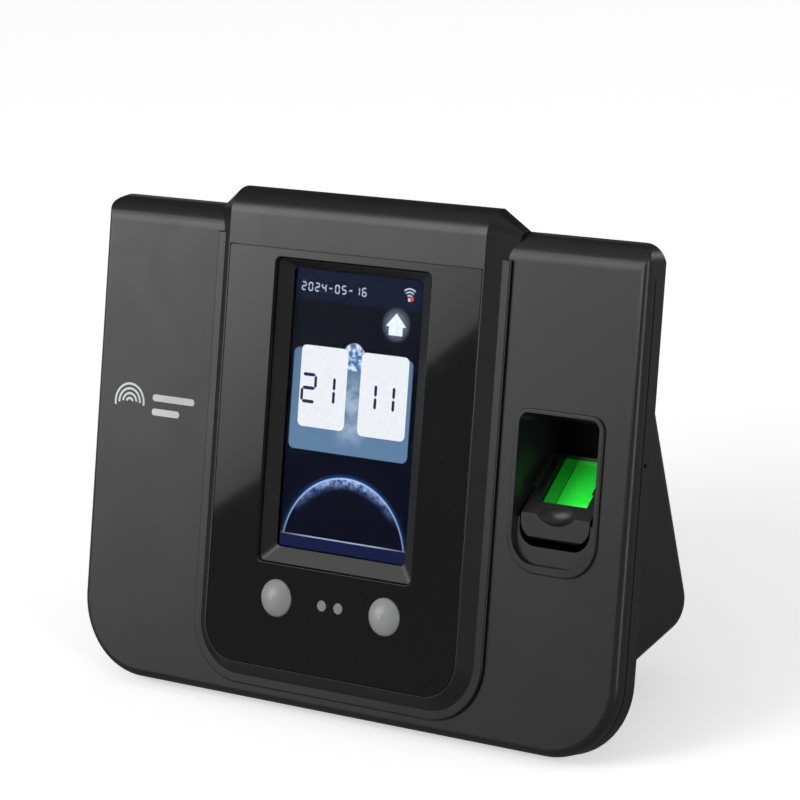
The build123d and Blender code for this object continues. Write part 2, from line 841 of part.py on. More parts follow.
def sensor_cable():
    """The flat lead from the tub's slot to the main board's edge."""
    bend = well_centre - 22
    back = tub_depth + clear
    front = board_back + 0.4
    run = slab_block((bend, well_centre + 4), sensor_lead_v, (back, back + lead_thickness))
    drop = slab_block((bend, bend + lead_thickness), sensor_lead_v, (front, back + lead_thickness))
    along = (main_board_u[1] - 3, bend + lead_thickness)
    foot = slab_block(along, sensor_lead_v, (front, front + lead_thickness))
    return on_panel(run + drop + foot)


# ---------------------------------------------------------------- main board and what is on it
def main_board():
    outline = rounded(main_board_u, main_board_v, board_corner_r, board_corner_r)
    body = prism(outline, main_board_depth, board_back)
    for u, v in standoff_places:
        body -= peg(u, v, small_screw_r + clear, 0, far)
    return on_panel(body)


def on_board(place, width, height, thickness, lift=0.0):
    """A block on the main board's back, or lifted off it by what is under it."""
    near = board_back + lift
    return prism(Pos(*place) * RectangleRounded(width, height, 0.6), near, near + thickness)


def processor():
    return on_panel(on_board(processor_place, processor_size, processor_size, processor_thickness))


def memory_chip():
    return on_panel(on_board(memory_place, memory_size, memory_size, memory_thickness))


def relay():
    return on_panel(on_board(relay_place, relay_width, relay_height, relay_height))


def heat_spreader():
    body = on_board(processor_place, spreader_size, spreader_size, spreader_thickness, processor_thickness)
    reach = spreader_size / 2
    up = (processor_place[1] - reach, processor_place[1] + reach)
    foot = board_back + processor_thickness + spreader_thickness
    for step in range(fin_count):
        u = processor_place[0] + (step - (fin_count - 1) / 2) * fin_pitch
        body += slab_block((u - fin_width / 2, u + fin_width / 2), up, (foot - 0.2, foot + fin_height))
    return on_panel(body)


def backup_battery():
    near = board_back + battery_seat
    return on_panel(peg(*battery_place, battery_r, near, near + battery_thickness))


def battery_holder():
    body = on_board(battery_place, holder_width, holder_height, holder_thickness)
    return on_panel(body - peg(*battery_place, battery_r + clear, board_back + battery_seat, far))


def display_cable():
    """The display's flat lead, folded once under the bracket's lower edge."""
    across = (-display_lead_half, display_lead_half)
    low = active_bottom - 6.2
    near = bracket_depth - 2 * lead_thickness
    deep = main_board_depth - clear
    tab = slab_block(across, (low, active_bottom - lcd_border - 1.0), (near, near + lead_thickness))
    fold = slab_block(across, (low, low + lead_thickness), (near, deep))
    rise = slab_block(across, (low, main_board_v[0] + 6), (deep - lead_thickness, deep))
    return on_panel(tab + fold + rise)


# ---------------------------------------------------------------- connectors, speaker, aerial, switches
def jack(x, size, mouth=(0.1, 0.1), deep=0.0):
    """A socket that opens downwards, with a mouth of its own size and depth."""
    def bar(width, depth, low, high):
        along = (connector_y - depth / 2, connector_y + depth / 2)
        return block((x - width / 2, x + width / 2), along, (low, high))

    return bar(*size, jack_low, jack_top) - bar(*mouth, jack_low - 1, jack_low + deep)


def network_jack():
    body = jack(network_x, network_size, network_mouth, network_bore)
    across = (network_x - network_latch / 2, network_x + network_latch / 2)
    low_y = connector_y - network_mouth[1] / 2 - 1.6
    return body - block(across, (low_y, connector_y), (floor_z, jack_low + network_bore))


def usb_port():
    across = (usb_x - usb_tongue / 2, usb_x + usb_tongue / 2)
    blade = block(across, (connector_y - 2.0, connector_y - 0.2), (jack_low + 1, jack_low + usb_bore + 1))
    return jack(usb_x, usb_size, usb_mouth, usb_bore) + blade


def power_jack():
    bore = Pos(power_x, connector_y, jack_low + power_bore / 2 - 0.5) * Cylinder(power_bore_r, power_bore + 1)
    pin = Pos(power_x, connector_y, jack_low + power_bore / 2 + 0.5) * Cylinder(power_pin_r, power_bore - 1)
    return jack(power_x, power_size) - bore + pin


def terminal_block():
    body = jack(terminal_x, terminal_size)
    for step in range(terminal_ways):
        x = terminal_x + (step - (terminal_ways - 1) / 2) * terminal_pitch
        across = (x - terminal_wire / 2, x + terminal_wire / 2)
        body -= block(across, (connector_y - 3.4, connector_y - 0.6), (jack_low - 1, jack_low + terminal_bore))
        body -= Pos(x, connector_y + 2.2, jack_low) * Cylinder(terminal_screw_r, 3.0)
    return body


def connector_board():
    along = (connector_y - connector_board_depth / 2, connector_y + connector_board_depth / 2)
    body = block(connector_board_x, along, (jack_top, jack_top + board_thickness))
    for x in post_places:
        body -= Pos(x, connector_y, jack_top) * Cylinder(small_screw_r + clear, 9)
    return body


def speaker():
    """A round driver that faces the grille, with its cone set in and its magnet on top."""
    low = floor_z + wall + gasket_thickness
    rim = Pos(0, 0, low + speaker_rim / 2) * Cylinder(speaker_r, speaker_rim)
    basket = Cone(speaker_r - 1.5, magnet_r + 0.5, basket_height)
    basket = Pos(0, 0, low + speaker_rim + basket_height / 2) * basket
    magnet_middle = low + speaker_rim + basket_height + magnet_thickness / 2 - 0.2
    magnet = Pos(0, 0, magnet_middle) * Cylinder(magnet_r, magnet_thickness)
    dish = Pos(0, 0, low + 0.9) * Cone(speaker_r - gasket_width, cone_r, 2.4)
    return Pos(speaker_x, connector_y, 0) * (rim + basket + magnet - dish)


def speaker_gasket():
    middle = floor_z + wall + gasket_thickness / 2
    ring = Cylinder(speaker_r, gasket_thickness) - Cylinder(speaker_r - gasket_width, gasket_thickness * 2)
    return Pos(speaker_x, connector_y, middle) * ring


def wifi_antenna():
    return block((-wedge_half + wall, -wedge_half + wall + 0.8), (-20, -12), (-30, 12))


def tamper_switch():
    """The fixed body, on the inner side of the recess's floor."""
    half = tamper_size / 2
    across = (tamper_x - half, tamper_x + half)
    body = block(across, (switch_back - tamper_depth, switch_back), (tamper_z - half, tamper_z + half))
    bore = 2 * (tamper_seat + tamper_travel + part_gap)
    return body - Pos(tamper_x, switch_back, tamper_z) * Rot(90, 0, 0) * Cylinder(tamper_r + 0.4, bore)


def tamper_plunger():
    """The sprung pin that the wall presses in, out through the plate's slot."""
    length = tamper_proud - switch_back + tamper_seat
    stem = Pos(tamper_x, tamper_proud - length / 2, tamper_z) * Rot(90, 0, 0) * Cylinder(tamper_r, length)
    return fillet(stem.edges().sort_by(Axis.Y)[-1], 0.5)


def reset_board():
    up = (reset_v - reset_board_half, reset_v + reset_board_half)
    return on_panel(slab_block((reset_u - 5.0, reset_u + 3.0), up, (wall, wall + reset_board_thickness)))


def reset_bar(radius, start, end):
    """A round bar along the panel, from start to end on each side of the reset switch's face."""
    middle = reset_u + (start + end) / 2
    return Pos(middle, reset_v, -reset_depth) * Rot(0, 90, 0) * Cylinder(radius, end - start)


def reset_switch():
    near = wall + reset_board_thickness
    body = slab_block((reset_u - 4.0, reset_u), (reset_v - 3, reset_v + 3), (near, slab_depth - wall - clear))
    behind = reset_key_length - reset_key_proud + reset_travel + part_gap
    return on_panel(body - reset_bar(reset_key_r + pin_gap, -behind, 1))


def reset_button():
    return on_panel(reset_bar(reset_key_r, reset_key_proud - reset_key_length, reset_key_proud))


# ---------------------------------------------------------------- wall plate and fasteners
def wall_plate():
    flat = RectangleRounded(2 * plate_half_x, 2 * plate_half_z, plate_corner_r)
    body = Rot(90, 0, 0) * extrude(flat, plate_thickness)
    for x in (-screw_pitch_x / 2, screw_pitch_x / 2):
        for z in (-screw_pitch_z / 2, screw_pitch_z / 2):
            body -= Pos(x, 0, z) * Rot(90, 0, 0) * Cylinder(screw_hole_r, 9)
    for x in (-box_pitch / 2, box_pitch / 2):
        body -= Pos(x, 0, 0) * Rot(90, 0, 0) * Cylinder(box_hole_r, 9)
    body -= Pos(0, 0, cable_hole_z) * Rot(90, 0, 0) * Cylinder(cable_hole_r, 9)
    slot_reach = tamper_r + 0.6
    body -= block((tamper_x - slot_reach, tamper_x + slot_reach), (-9, 9),
                  (tamper_z - slot_reach, tamper_z + lift_travel + slot_reach))
    tip = recess_back - hook_gap
    for x in (-hook_x, hook_x):
        for z in (hook_upper, hook_lower):
            across = (x - hook_width / 2, x + hook_width / 2)
            arm = block(across, (tip - plate_thickness, -plate_thickness / 2), (z, z + plate_thickness))
            arm += block(across, (tip - plate_thickness, tip), (z, z + hook_rise))
            body += arm
    return body


def seated(place, part):
    """A fastener driven from behind the panel, with its head's underside at a depth."""
    u, v, depth = place
    return on_panel(Pos(u, v, -depth) * Rot(180, 0, 0) * part)


def case_screws():
    part = screw(case_screw_r - 2 * pin_gap, 7.0, case_head_r, case_head_height)
    return [seated((u, v, slab_depth - case_screw_sink), part) for u, v in boss_places]


def small_screw(length):
    return screw(small_screw_r - 2 * pin_gap, length, small_head_r, small_head_height)


def bracket_screws():
    back = bracket_depth + bracket_thickness
    return [seated((u, v, back), small_screw(2.8)) for u, v in bracket_screw_places]


def camera_screws():
    back = camera_board_depth + board_thickness
    return [seated((u, v, back), small_screw(3.4)) for u, v in camera_screw_places]


def bezel_screws():
    return [seated((u, v, wall), small_screw(3.8)) for u, v in bezel_screw_places]


def board_screws():
    part = small_screw(4.4)
    pieces = [seated((u, v, board_back), part) for u, v in standoff_places]
    return pieces + [Pos(x, connector_y, jack_top + board_thickness) * part for x in post_places]


def largest(body):
    """The biggest solid of a cut, without loose slivers."""
    return body.solids().sort_by(SortBy.VOLUME)[-1]


# ---------------------------------------------------------------- build every node
housing_outer = slab_solid(0) + wedge_solid(0) + top_rib()
housing_skin = housing_outer - housing_inner()
makers = [
    front_shell, rear_shell, center_bezel, lens_plate, lens_tape, display_bezel, touch_panel, lcd_panel,
    lcd_backlight, display_bracket, standoffs, camera_board, ir_leds, finger_well, finger_guide, sensor_prism,
    sensor_housing, sensor_led_board, sensor_imager, sensor_cable, main_board, heat_spreader, backup_battery,
    battery_holder, display_cable, network_jack, usb_port, power_jack, terminal_block, connector_board, speaker,
    speaker_gasket, wifi_antenna, tamper_switch, tamper_plunger, reset_board, reset_switch, reset_button,
    wall_plate, case_screws, bracket_screws, camera_screws, bezel_screws, board_screws, processor, memory_chip,
    relay,
]


def save(name, body):
    """Writes one node, as one solid or as a group of separate solids."""
    solids = body if isinstance(body, list) else [body]
    export_step(Compound(children=[s for one in solids for s in one.solids()]), f"parts/{name}.step")


os.makedirs("parts", exist_ok=True)
for maker in makers:
    save(maker.__name__, maker())
for side, name in ((-1, "left"), (1, "right")):
    save(f"lens_cover_{name}", lens_cover(side))
    save(f"status_lens_{name}", status_lens(side))
    save(f"camera_{name}", camera(side))
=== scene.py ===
# %% [markdown]
# # A wall-mount fingerprint terminal, cell by cell
# The part comes in as a fixed frame: every moulding, board and screw at its real size and place.
# This lesson dresses it. It lights the terminal, gives each moulding its finish, draws the
# picture on the display, and grows the small things that a frame leaves out, such as contacts,
# clamp screws and soldered parts.

# %% Load the frame
import json
from math import cos, pi, radians, sin
import bmesh
import bpy
from mathutils import Euler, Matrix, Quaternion, Vector

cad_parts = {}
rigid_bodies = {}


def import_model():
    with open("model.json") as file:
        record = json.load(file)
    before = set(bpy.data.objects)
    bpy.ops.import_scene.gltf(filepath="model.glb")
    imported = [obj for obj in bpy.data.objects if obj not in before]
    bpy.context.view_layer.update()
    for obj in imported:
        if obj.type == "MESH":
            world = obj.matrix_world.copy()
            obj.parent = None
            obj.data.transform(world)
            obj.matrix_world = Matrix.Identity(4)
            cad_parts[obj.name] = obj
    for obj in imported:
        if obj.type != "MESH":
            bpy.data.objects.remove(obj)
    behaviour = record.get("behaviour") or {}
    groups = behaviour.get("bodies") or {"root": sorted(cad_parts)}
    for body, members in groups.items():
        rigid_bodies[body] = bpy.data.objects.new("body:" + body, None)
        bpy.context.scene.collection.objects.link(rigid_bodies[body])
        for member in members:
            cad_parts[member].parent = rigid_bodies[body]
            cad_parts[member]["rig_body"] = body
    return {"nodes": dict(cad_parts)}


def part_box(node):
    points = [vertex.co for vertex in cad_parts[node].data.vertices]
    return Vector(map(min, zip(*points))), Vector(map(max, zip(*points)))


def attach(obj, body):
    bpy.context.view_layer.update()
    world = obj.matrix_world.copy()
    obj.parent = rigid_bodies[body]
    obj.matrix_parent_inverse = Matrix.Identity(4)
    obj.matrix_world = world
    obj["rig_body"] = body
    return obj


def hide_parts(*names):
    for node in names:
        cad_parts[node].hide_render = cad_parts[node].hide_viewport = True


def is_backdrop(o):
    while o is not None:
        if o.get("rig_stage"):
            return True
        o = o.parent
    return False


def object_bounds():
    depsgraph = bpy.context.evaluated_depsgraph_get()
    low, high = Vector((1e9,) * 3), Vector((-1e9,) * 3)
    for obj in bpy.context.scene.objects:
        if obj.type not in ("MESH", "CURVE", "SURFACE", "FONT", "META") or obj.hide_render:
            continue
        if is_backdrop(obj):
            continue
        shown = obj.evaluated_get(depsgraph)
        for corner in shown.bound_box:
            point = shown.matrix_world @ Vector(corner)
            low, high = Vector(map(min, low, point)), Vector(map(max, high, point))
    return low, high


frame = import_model()
cad_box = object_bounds()
slot_of = {name: source.data.materials[0].name for name, source in frame["nodes"].items()}

# %% [markdown]
# ## The sloping panel's own ruler
# Everything on the front of the terminal is easiest to place on the panel itself: u across it, v
# up it from its lower front edge, and n in behind its face, all in millimetres. One function
# turns such a place into the row frame. Writing it once keeps every later cell free of sines and
# cosines.

# %% The panel's ruler
MM = 0.001
LEAN = radians(23.6)
PANEL_FOOT = Vector((0, -75, -80))
PANEL_UP = Vector((0, sin(LEAN), cos(LEAN)))
PANEL_IN = Vector((0, cos(LEAN), -sin(LEAN)))


def on_panel(u, v, n):
    """A place on the panel, in the row frame and in metres."""
    return (PANEL_FOOT + Vector((u, 0, 0)) + v * PANEL_UP + n * PANEL_IN) * MM


LENS_EDGE = (0, 13.4, -4.7)
lens_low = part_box("lens_plate")[0]
miss = (on_panel(*LENS_EDGE) - lens_low).z / MM
print("lens plate's lower edge is off by", round(miss, 3), "mm")

# %% [markdown]
# ## The camera
# A long lens from a little over a metre away keeps the panel's edges nearly parallel. The
# terminal hangs on a wall, and it is seen from its right, a little from above, with the camera
# rolled so that the panel seems to lean less. A look-at turn followed by a roll about the
# camera's own axis says exactly that.

# %% Camera
AIM = Vector((0.0, -0.0072, 0.0070))
DISTANCE = 1.236
AZIMUTH = radians(39.97)
ELEVATION = radians(23.57)
ROLL = radians(-10.98)
LENS_LENGTH = 162.17
SENSOR_WIDTH = 36


def in_scene(name, data):
    """A new object with some data, put into the scene."""
    made = bpy.data.objects.new(name, data)
    bpy.context.scene.collection.objects.link(made)
    return made


camera_data = bpy.data.cameras.new("studio_camera")
camera_data.lens = LENS_LENGTH
camera_data.sensor_width = SENSOR_WIDTH
camera = in_scene("studio_camera", camera_data)
level = cos(ELEVATION)
towards = Vector((sin(AZIMUTH) * level, -cos(AZIMUTH) * level, sin(ELEVATION)))
camera.location = AIM + towards * DISTANCE
camera.rotation_mode = "QUATERNION"
camera.rotation_quaternion = (-towards).to_track_quat("-Z", "Y") @ Quaternion((0, 0, 1), ROLL)
bpy.context.scene.camera = camera
print("camera at", [round(x, 3) for x in camera.location])

# %% [markdown]
# ## Helpers for material trees
# A material is a tree of nodes. Short helpers keep the trees readable. The first adds a node and
# fills or links its sockets by name; the others do arithmetic, keep a value in a range, mix
# colours, and give a noise or a bump.

# %% Node helpers
def node(tree, kind, inputs=None, **settings):
    """Adds a node. Settings are its own properties; inputs fill or link its sockets."""
    made = tree.nodes.new(kind)
    for name, value in settings.items():
        setattr(made, name, value)
    for socket, value in (inputs or {}).items():
        if isinstance(value, bpy.types.NodeSocket):
            tree.links.new(value, made.inputs[socket])
        else:
            made.inputs[socket].default_value = value
    return made


def sum_of(tree, operation, *values):
    """A Math node's result."""
    return node(tree, "ShaderNodeMath", dict(enumerate(values)), operation=operation).outputs[0]


def times(tree, first, *others):
    """Values multiplied together."""
    for other in others:
        first = sum_of(tree, "MULTIPLY", first, other)
    return first


def apart(tree, first, second):
    """How far one value lies from another."""
    return sum_of(tree, "ABSOLUTE", sum_of(tree, "SUBTRACT", first, second))


def ramp(tree, value, start, end, low=0.0, high=1.0, smooth=False):
    """A value moved from one range to another, and kept inside it."""
    kind = "SMOOTHSTEP" if smooth else "LINEAR"
    inputs = {"Value": value, "From Min": start, "From Max": end, "To Min": low, "To Max": high}
    return node(tree, "ShaderNodeMapRange", inputs, interpolation_type=kind).outputs["Result"]


def mixed(tree, factor, first, second):
    """Two colours mixed by a factor. A Mix node keeps its colours in sockets 6, 7 and 2."""
    made = node(tree, "ShaderNodeMix", data_type="RGBA")
    for place, value in ((0, factor), (6, first), (7, second)):
        socket = made.inputs[place]
        if isinstance(value, bpy.types.NodeSocket):
            tree.links.new(value, socket)
        elif isinstance(value, tuple) and len(value) == 3:
            socket.default_value = (*value, 1)
        else:
            socket.default_value = value
    return made.outputs[2]


print("colour and arithmetic helpers ready")

# %% Place, noise and bump helpers
def own_place(tree):
    """Object coordinates in metres, so that a pattern has one size on every piece."""
    return node(tree, "ShaderNodeTexCoord").outputs["Object"]


def noise(tree, place, scale, detail=2.0, roughness=0.5, distortion=0.0):
    """A soft random value. The scale says how many of its blobs fit in one unit of the place."""
    inputs = {"Vector": place, "Scale": scale, "Detail": detail, "Roughness": roughness,
              "Distortion": distortion}
    return node(tree, "ShaderNodeTexNoise", inputs).outputs["Fac"]


def relief(tree, height, depth):
    """A bump's normal, from a height and the depth in millimetres that it stands for."""
    inputs = {"Height": height, "Distance": depth * MM, "Strength": 1.0}
    return node(tree, "ShaderNodeBump", inputs).outputs["Normal"]


def feed(tree, taker, **outputs):
    """Links outputs to a node's sockets by name."""
    for socket, output in outputs.items():
        tree.links.new(output, taker.inputs[socket.replace("_", " ")])


print("place, noise and bump helpers ready")

# %% Group helpers
def new_group(name, inputs, outputs):
    """An empty shader node group with its sockets, as (group, input node, output node)."""
    group = bpy.data.node_groups.new(name, "ShaderNodeTree")
    for label, kind, value in inputs:
        socket = group.interface.new_socket(label, in_out="INPUT", socket_type="NodeSocket" + kind)
        if value is not None:
            socket.default_value = value
    for label, kind in outputs:
        group.interface.new_socket(label, in_out="OUTPUT", socket_type="NodeSocket" + kind)
    return group, group.nodes.new("NodeGroupInput"), group.nodes.new("NodeGroupOutput")


def use_group(tree, group, **values):
    """A group placed in a material, with its own values."""
    made = node(tree, "ShaderNodeGroup")
    made.node_tree = group
    for name, value in values.items():
        socket = made.inputs[name.replace("_", " ").capitalize()]
        if isinstance(value, bpy.types.NodeSocket):
            tree.links.new(value, socket)
        else:
            socket.default_value = value
    return made


print("group helpers ready")

# %% [markdown]
# ## Shared effect 1: moulding grain
# A black terminal's case comes out of a mould whose steel was spark eroded, so its skin is
# thousands of tiny pits and hills about a fifth of a millimetre across. Three sizes of noise make
# it: pits, a coarser waviness from the plastic's shrinkage, and a cloudy tone that keeps large
# faces from looking painted on. It reads Object coordinates, so the grain has one size
# everywhere.

# %% Moulding grain group
grain, taken, given = new_group("moulding_grain", [("Size", "Float", 0.25)],
                                [("Height", "Float"), ("Tone", "Float"), ("Gloss", "Float")])
place = own_place(grain)
per_metre = sum_of(grain, "DIVIDE", 1 / MM, taken.outputs["Size"])
pits = noise(grain, place, per_metre, detail=2.0, roughness=0.6)
waves = noise(grain, place, 55.0)
clouds = noise(grain, place, 18.0, detail=4.0, roughness=0.6)
feed(grain, given,
     Height=sum_of(grain, "MULTIPLY_ADD", waves, 0.35, pits),
     Tone=ramp(grain, clouds, 0.3, 0.7),
     Gloss=ramp(grain, pits, 0.35, 0.65))
print("moulding_grain", len(grain.nodes), "nodes")

# %% [markdown]
# ## Shared effect 2: dust and finger marks
# A terminal by a door is touched all day. Skin grease lowers the sheen in soft patches, and a
# little pale dust rests on whatever faces up. The dust mask multiplies a fine speckle by how far
# the surface looks upwards.

# %% Handling group
handling, taken, given = new_group("handling", [("Dust", "Float", 0.3)],
                                   [("Dust mask", "Float"), ("Smear", "Float")])
place = own_place(handling)
normal = node(handling, "ShaderNodeNewGeometry").outputs["Normal"]
facing = node(handling, "ShaderNodeSeparateXYZ", {0: normal})
upward = ramp(handling, facing.outputs["Z"], 0.2, 1.0, 0.12, 1.0)
speckle = ramp(handling, noise(handling, place, 1400.0, detail=1.0), 0.60, 0.74)
drift = ramp(handling, noise(handling, place, 26.0, detail=3.0), 0.38, 0.66)
marks = noise(handling, place, 34.0, detail=3.0, distortion=1.2)
feed(handling, given,
     Dust_mask=times(handling, drift, speckle, upward, taken.outputs["Dust"]),
     Smear=ramp(handling, marks, 0.40, 0.72))
print("handling", len(handling.nodes), "nodes")

# %% [markdown]
# ## Moulded plastic
# Most of the terminal is moulded plastic, and only four things differ between its pieces: colour,
# sheen, the size of the grain and how deep it is. So one function makes them all. The Principled
# shader stays in the material, where its specular level and coat are plain numbers on its own
# sockets.

# %% Moulded plastic
DUST = (0.30, 0.29, 0.27)
CLOUD_GAIN = 1.35
CLOUD_LIFT = 0.002


def shader(name, **constants):
    """A new material, its tree and its Principled shader, with plain numbers on its sockets."""
    material = bpy.data.materials.new(name)
    material.use_nodes = True
    tree = material.node_tree
    principled = tree.nodes["Principled BSDF"]
    for socket, value in constants.items():
        principled.inputs[socket.replace("_", " ")].default_value = value
    return material, tree, principled


def moulded(name, colour, roughness, size, depth, dust, spread, **constants):
    """Moulded plastic with spark grain, cloudy tone, finger marks and a little dust."""
    material, tree, principled = shader(name, **constants)
    grained = use_group(tree, grain, size=size)
    touched = use_group(tree, handling, dust=dust)
    lighter = tuple(min(channel * CLOUD_GAIN + CLOUD_LIFT, 1) for channel in colour)
    tone = mixed(tree, grained.outputs["Tone"], colour, lighter)
    dull, bright = roughness + spread / 2, roughness - spread / 2
    sheen = ramp(tree, touched.outputs["Smear"], 0, 1, dull, bright)
    feed(tree, principled,
         Base_Color=mixed(tree, touched.outputs["Dust mask"], tone, DUST),
         Roughness=sum_of(tree, "MULTIPLY_ADD", grained.outputs["Gloss"], spread / 2, sheen),
         Normal=relief(tree, grained.outputs["Height"], depth))
    return material


# Name, colour, roughness, the grain's size and depth in millimetres, dust, spread of the sheen
MOULDINGS = (
    ("shell_black", (0.008, 0.008, 0.0084), 0.33, 0.22, 0.010, 0.08, 0.05),
    ("module_black", (0.007, 0.007, 0.0075), 0.30, 0.18, 0.006, 0.07, 0.05),
    ("well_black", (0.007, 0.007, 0.0075), 0.30, 0.16, 0.006, 0.08, 0.10),
    ("chip_black", (0.020, 0.020, 0.022), 0.55, 0.12, 0.010, 0.25, 0.10),
    ("connector_black", (0.013, 0.013, 0.014), 0.40, 0.30, 0.003, 0.25, 0.10),
    ("terminal_green", (0.02, 0.20, 0.07), 0.38, 0.30, 0.003, 0.25, 0.10),
    ("pin_white", (0.62, 0.61, 0.57), 0.35, 0.30, 0.002, 0.25, 0.10),
    ("relay_blue", (0.02, 0.07, 0.28), 0.34, 0.40, 0.002, 0.25, 0.10),
    ("lead_white", (0.70, 0.68, 0.62), 0.45, 0.60, 0.002, 0.25, 0.10),
    ("status_grey", (0.22, 0.22, 0.22), 0.45, 0.30, 0.002, 0.05, 0.10),
    ("tape", (0.015, 0.015, 0.016), 0.75, 0.50, 0.010, 0.25, 0.10),
)
finishes = {moulding[0]: moulded(*moulding) for moulding in MOULDINGS}
print("moulded finishes", sorted(finishes))

# %% [markdown]
# ## Frosted covers
# The two camera covers are thin frosted domes. Light enters, scatters, and comes out soft and
# grey, so the shader gets a little subsurface scatter beside a rough surface, and a fine etched
# grain breaks the highlight.

# %% Frosted plastic
def frosted(name, colour, roughness):
    """Etched translucent plastic: a pale scattering body under a satin skin."""
    return moulded(name, colour, roughness, size=0.12, depth=0.003, dust=0.04, spread=0.08,
                   Subsurface_Weight=0.25, Subsurface_Scale=0.002, Specular_IOR_Level=0.5)


finishes["cover_frost"] = frosted("cover_frost", (0.35, 0.35, 0.35), 0.30)
finishes["lamp_clear"] = frosted("lamp_clear", (0.45, 0.46, 0.50), 0.12)
print("frosted finishes: cover_frost, lamp_clear")

# %% [markdown]
# ## Gloss black lens plate
# The lens plate is painted on its back, so what is seen is polished acrylic over black: very
# smooth, with a long soft ripple, faint wipe marks and a few specks of dust. The ripple is what
# tells the eye it is plastic and not glass.

# %% Gloss plate and touch glass
WIPED_HAZE = 0.06


def polished(name, colour, roughness, ripple, dust, **constants):
    """A polished sheet: a long ripple in millimetres, faint wipe marks, a few specks."""
    material, tree, principled = shader(name, **constants)
    touched = use_group(tree, handling, dust=dust)
    place = own_place(tree)
    wipes = ramp(tree, noise(tree, place, 90.0, detail=4.0, distortion=2.0), 0.45, 0.75)
    hazy = times(tree, wipes, touched.outputs["Smear"])
    feed(tree, principled,
         Base_Color=mixed(tree, touched.outputs["Dust mask"], colour, DUST),
         Roughness=ramp(tree, hazy, 0, 1, roughness, roughness + WIPED_HAZE),
         Normal=relief(tree, noise(tree, place, 22.0, detail=1.0), ripple))
    return material


finishes["lens_black"] = polished(
    "lens_black", (0.0035, 0.0035, 0.004), 0.035, ripple=0.02, dust=0.12, IOR=1.40)
finishes["touch_glass"] = polished(
    "touch_glass", (0.96, 0.98, 1.0), 0.03, ripple=0.01, dust=0.0, IOR=1.06,
    Transmission_Weight=1.0)
print("polished finishes: lens_black, touch_glass")

# %% [markdown]
# ## Metals
# Stamped zinc, tin plate, brass and aluminium share one tree. A crystalline spangle moves the
# tone, and is stretched to a streak on drawn metal. A fine noise moves the roughness, and its
# bump keeps the reflection from being a mirror.

# %% Metals
def metal(name, colour, roughness, streak, scale):
    """Plated or drawn metal. A streak above one stretches the pattern along X."""
    material, tree, principled = shader(name, Metallic=1.0)
    stretch = {"Vector": own_place(tree), "Scale": (1 / streak, 1, 1)}
    place = node(tree, "ShaderNodeMapping", stretch).outputs["Vector"]
    spangle = node(tree, "ShaderNodeTexVoronoi", {"Vector": place, "Scale": scale})
    fine = noise(tree, place, scale * 6, detail=3.0)
    worn = use_group(tree, handling, dust=0.2)
    darker = tuple(channel * 0.72 for channel in colour)
    tone = mixed(tree, spangle.outputs["Color"], darker, colour)
    feed(tree, principled,
         Base_Color=mixed(tree, worn.outputs["Dust mask"], tone, DUST),
         Roughness=ramp(tree, fine, 0.3, 0.7, roughness - 0.08, roughness + 0.10),
         Normal=relief(tree, fine, 0.004))
    return material


# Name, colour, roughness, streak, and how many spangles fit in a metre
METALS = (
    ("zinc_plate", (0.62, 0.63, 0.64), 0.36, 1.4, 170.0),
    ("tin_plate", (0.66, 0.66, 0.65), 0.30, 5.0, 260.0),
    ("brass_post", (0.70, 0.50, 0.20), 0.30, 3.0, 260.0),
    ("fin_aluminium", (0.70, 0.71, 0.72), 0.40, 6.0, 260.0),
    ("screw_black", (0.055, 0.055, 0.06), 0.40, 1.0, 260.0),
    ("screw_zinc", (0.60, 0.61, 0.63), 0.30, 1.0, 260.0),
    ("contact_gold", (0.83, 0.62, 0.26), 0.22, 3.0, 260.0),
)
for row in METALS:
    finishes[row[0]] = metal(*row)
print("metals", [row[0] for row in METALS])

# %% [markdown]
# ## Circuit board and foam
# A board is green solder mask over copper. A brick pattern stands in for runs of track, which
# show as slightly raised and slightly lighter lines, and small round spots stand in for tinned
# holes. Foam is a rough cell pattern.

# %% Board and foam
def circuit_board():
    """Green solder mask with raised tracks and tinned spots."""
    material, tree, principled = shader("board_green")
    place = own_place(tree)
    bricks = {"Vector": place, "Scale": 130.0, "Mortar Size": 0.025}
    runs = node(tree, "ShaderNodeTexBrick", bricks, offset=0.35).outputs["Fac"]
    spots = node(tree, "ShaderNodeTexVoronoi", {"Vector": place, "Scale": 320.0})
    via = ramp(tree, spots.outputs["Distance"], 0.10, 0.14, 1.0, 0.0)
    mask = mixed(tree, runs, (0.008, 0.085, 0.03), (0.02, 0.17, 0.06))
    feed(tree, principled,
         Base_Color=mixed(tree, via, mask, (0.5, 0.45, 0.3)),
         Roughness=ramp(tree, runs, 0, 1, 0.34, 0.26),
         Normal=relief(tree, sum_of(tree, "ADD", runs, via), 0.03))
    return material


def foam():
    """Open-cell foam, dark and dull."""
    material, tree, principled = shader("foam")
    grid = {"Vector": own_place(tree), "Scale": 1900.0}
    cells = node(tree, "ShaderNodeTexVoronoi", grid).outputs["Distance"]
    # Each cell's middle, where the bump sinks a pore, is painted darker: painted shade in the
    # pores.
    feed(tree, principled,
         Base_Color=mixed(tree, cells, (0.012, 0.012, 0.012), (0.05, 0.05, 0.05)),
         Roughness=ramp(tree, cells, 0, 1, 0.8, 0.95),
         Normal=relief(tree, cells, 0.15))
    return material


finishes["board_green"] = circuit_board()
finishes["foam"] = foam()
print("board_green and foam made")

# %% [markdown]
# ## Lit sensor window
# The fingerprint window is a glass prism lit from behind by green lamps. It is brightest towards
# its lower right, a darker band runs up its left, and a thin line crosses it a third of the way
# up, where the prism's edge shows through. The pattern follows the glass, so it is drawn on a
# measured position: how far across and how far up the window.

# %% Sensor glass
BAND_EDGE = 0.265
PRISM_EDGE = 0.34
well_low, well_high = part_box("sensor_prism")


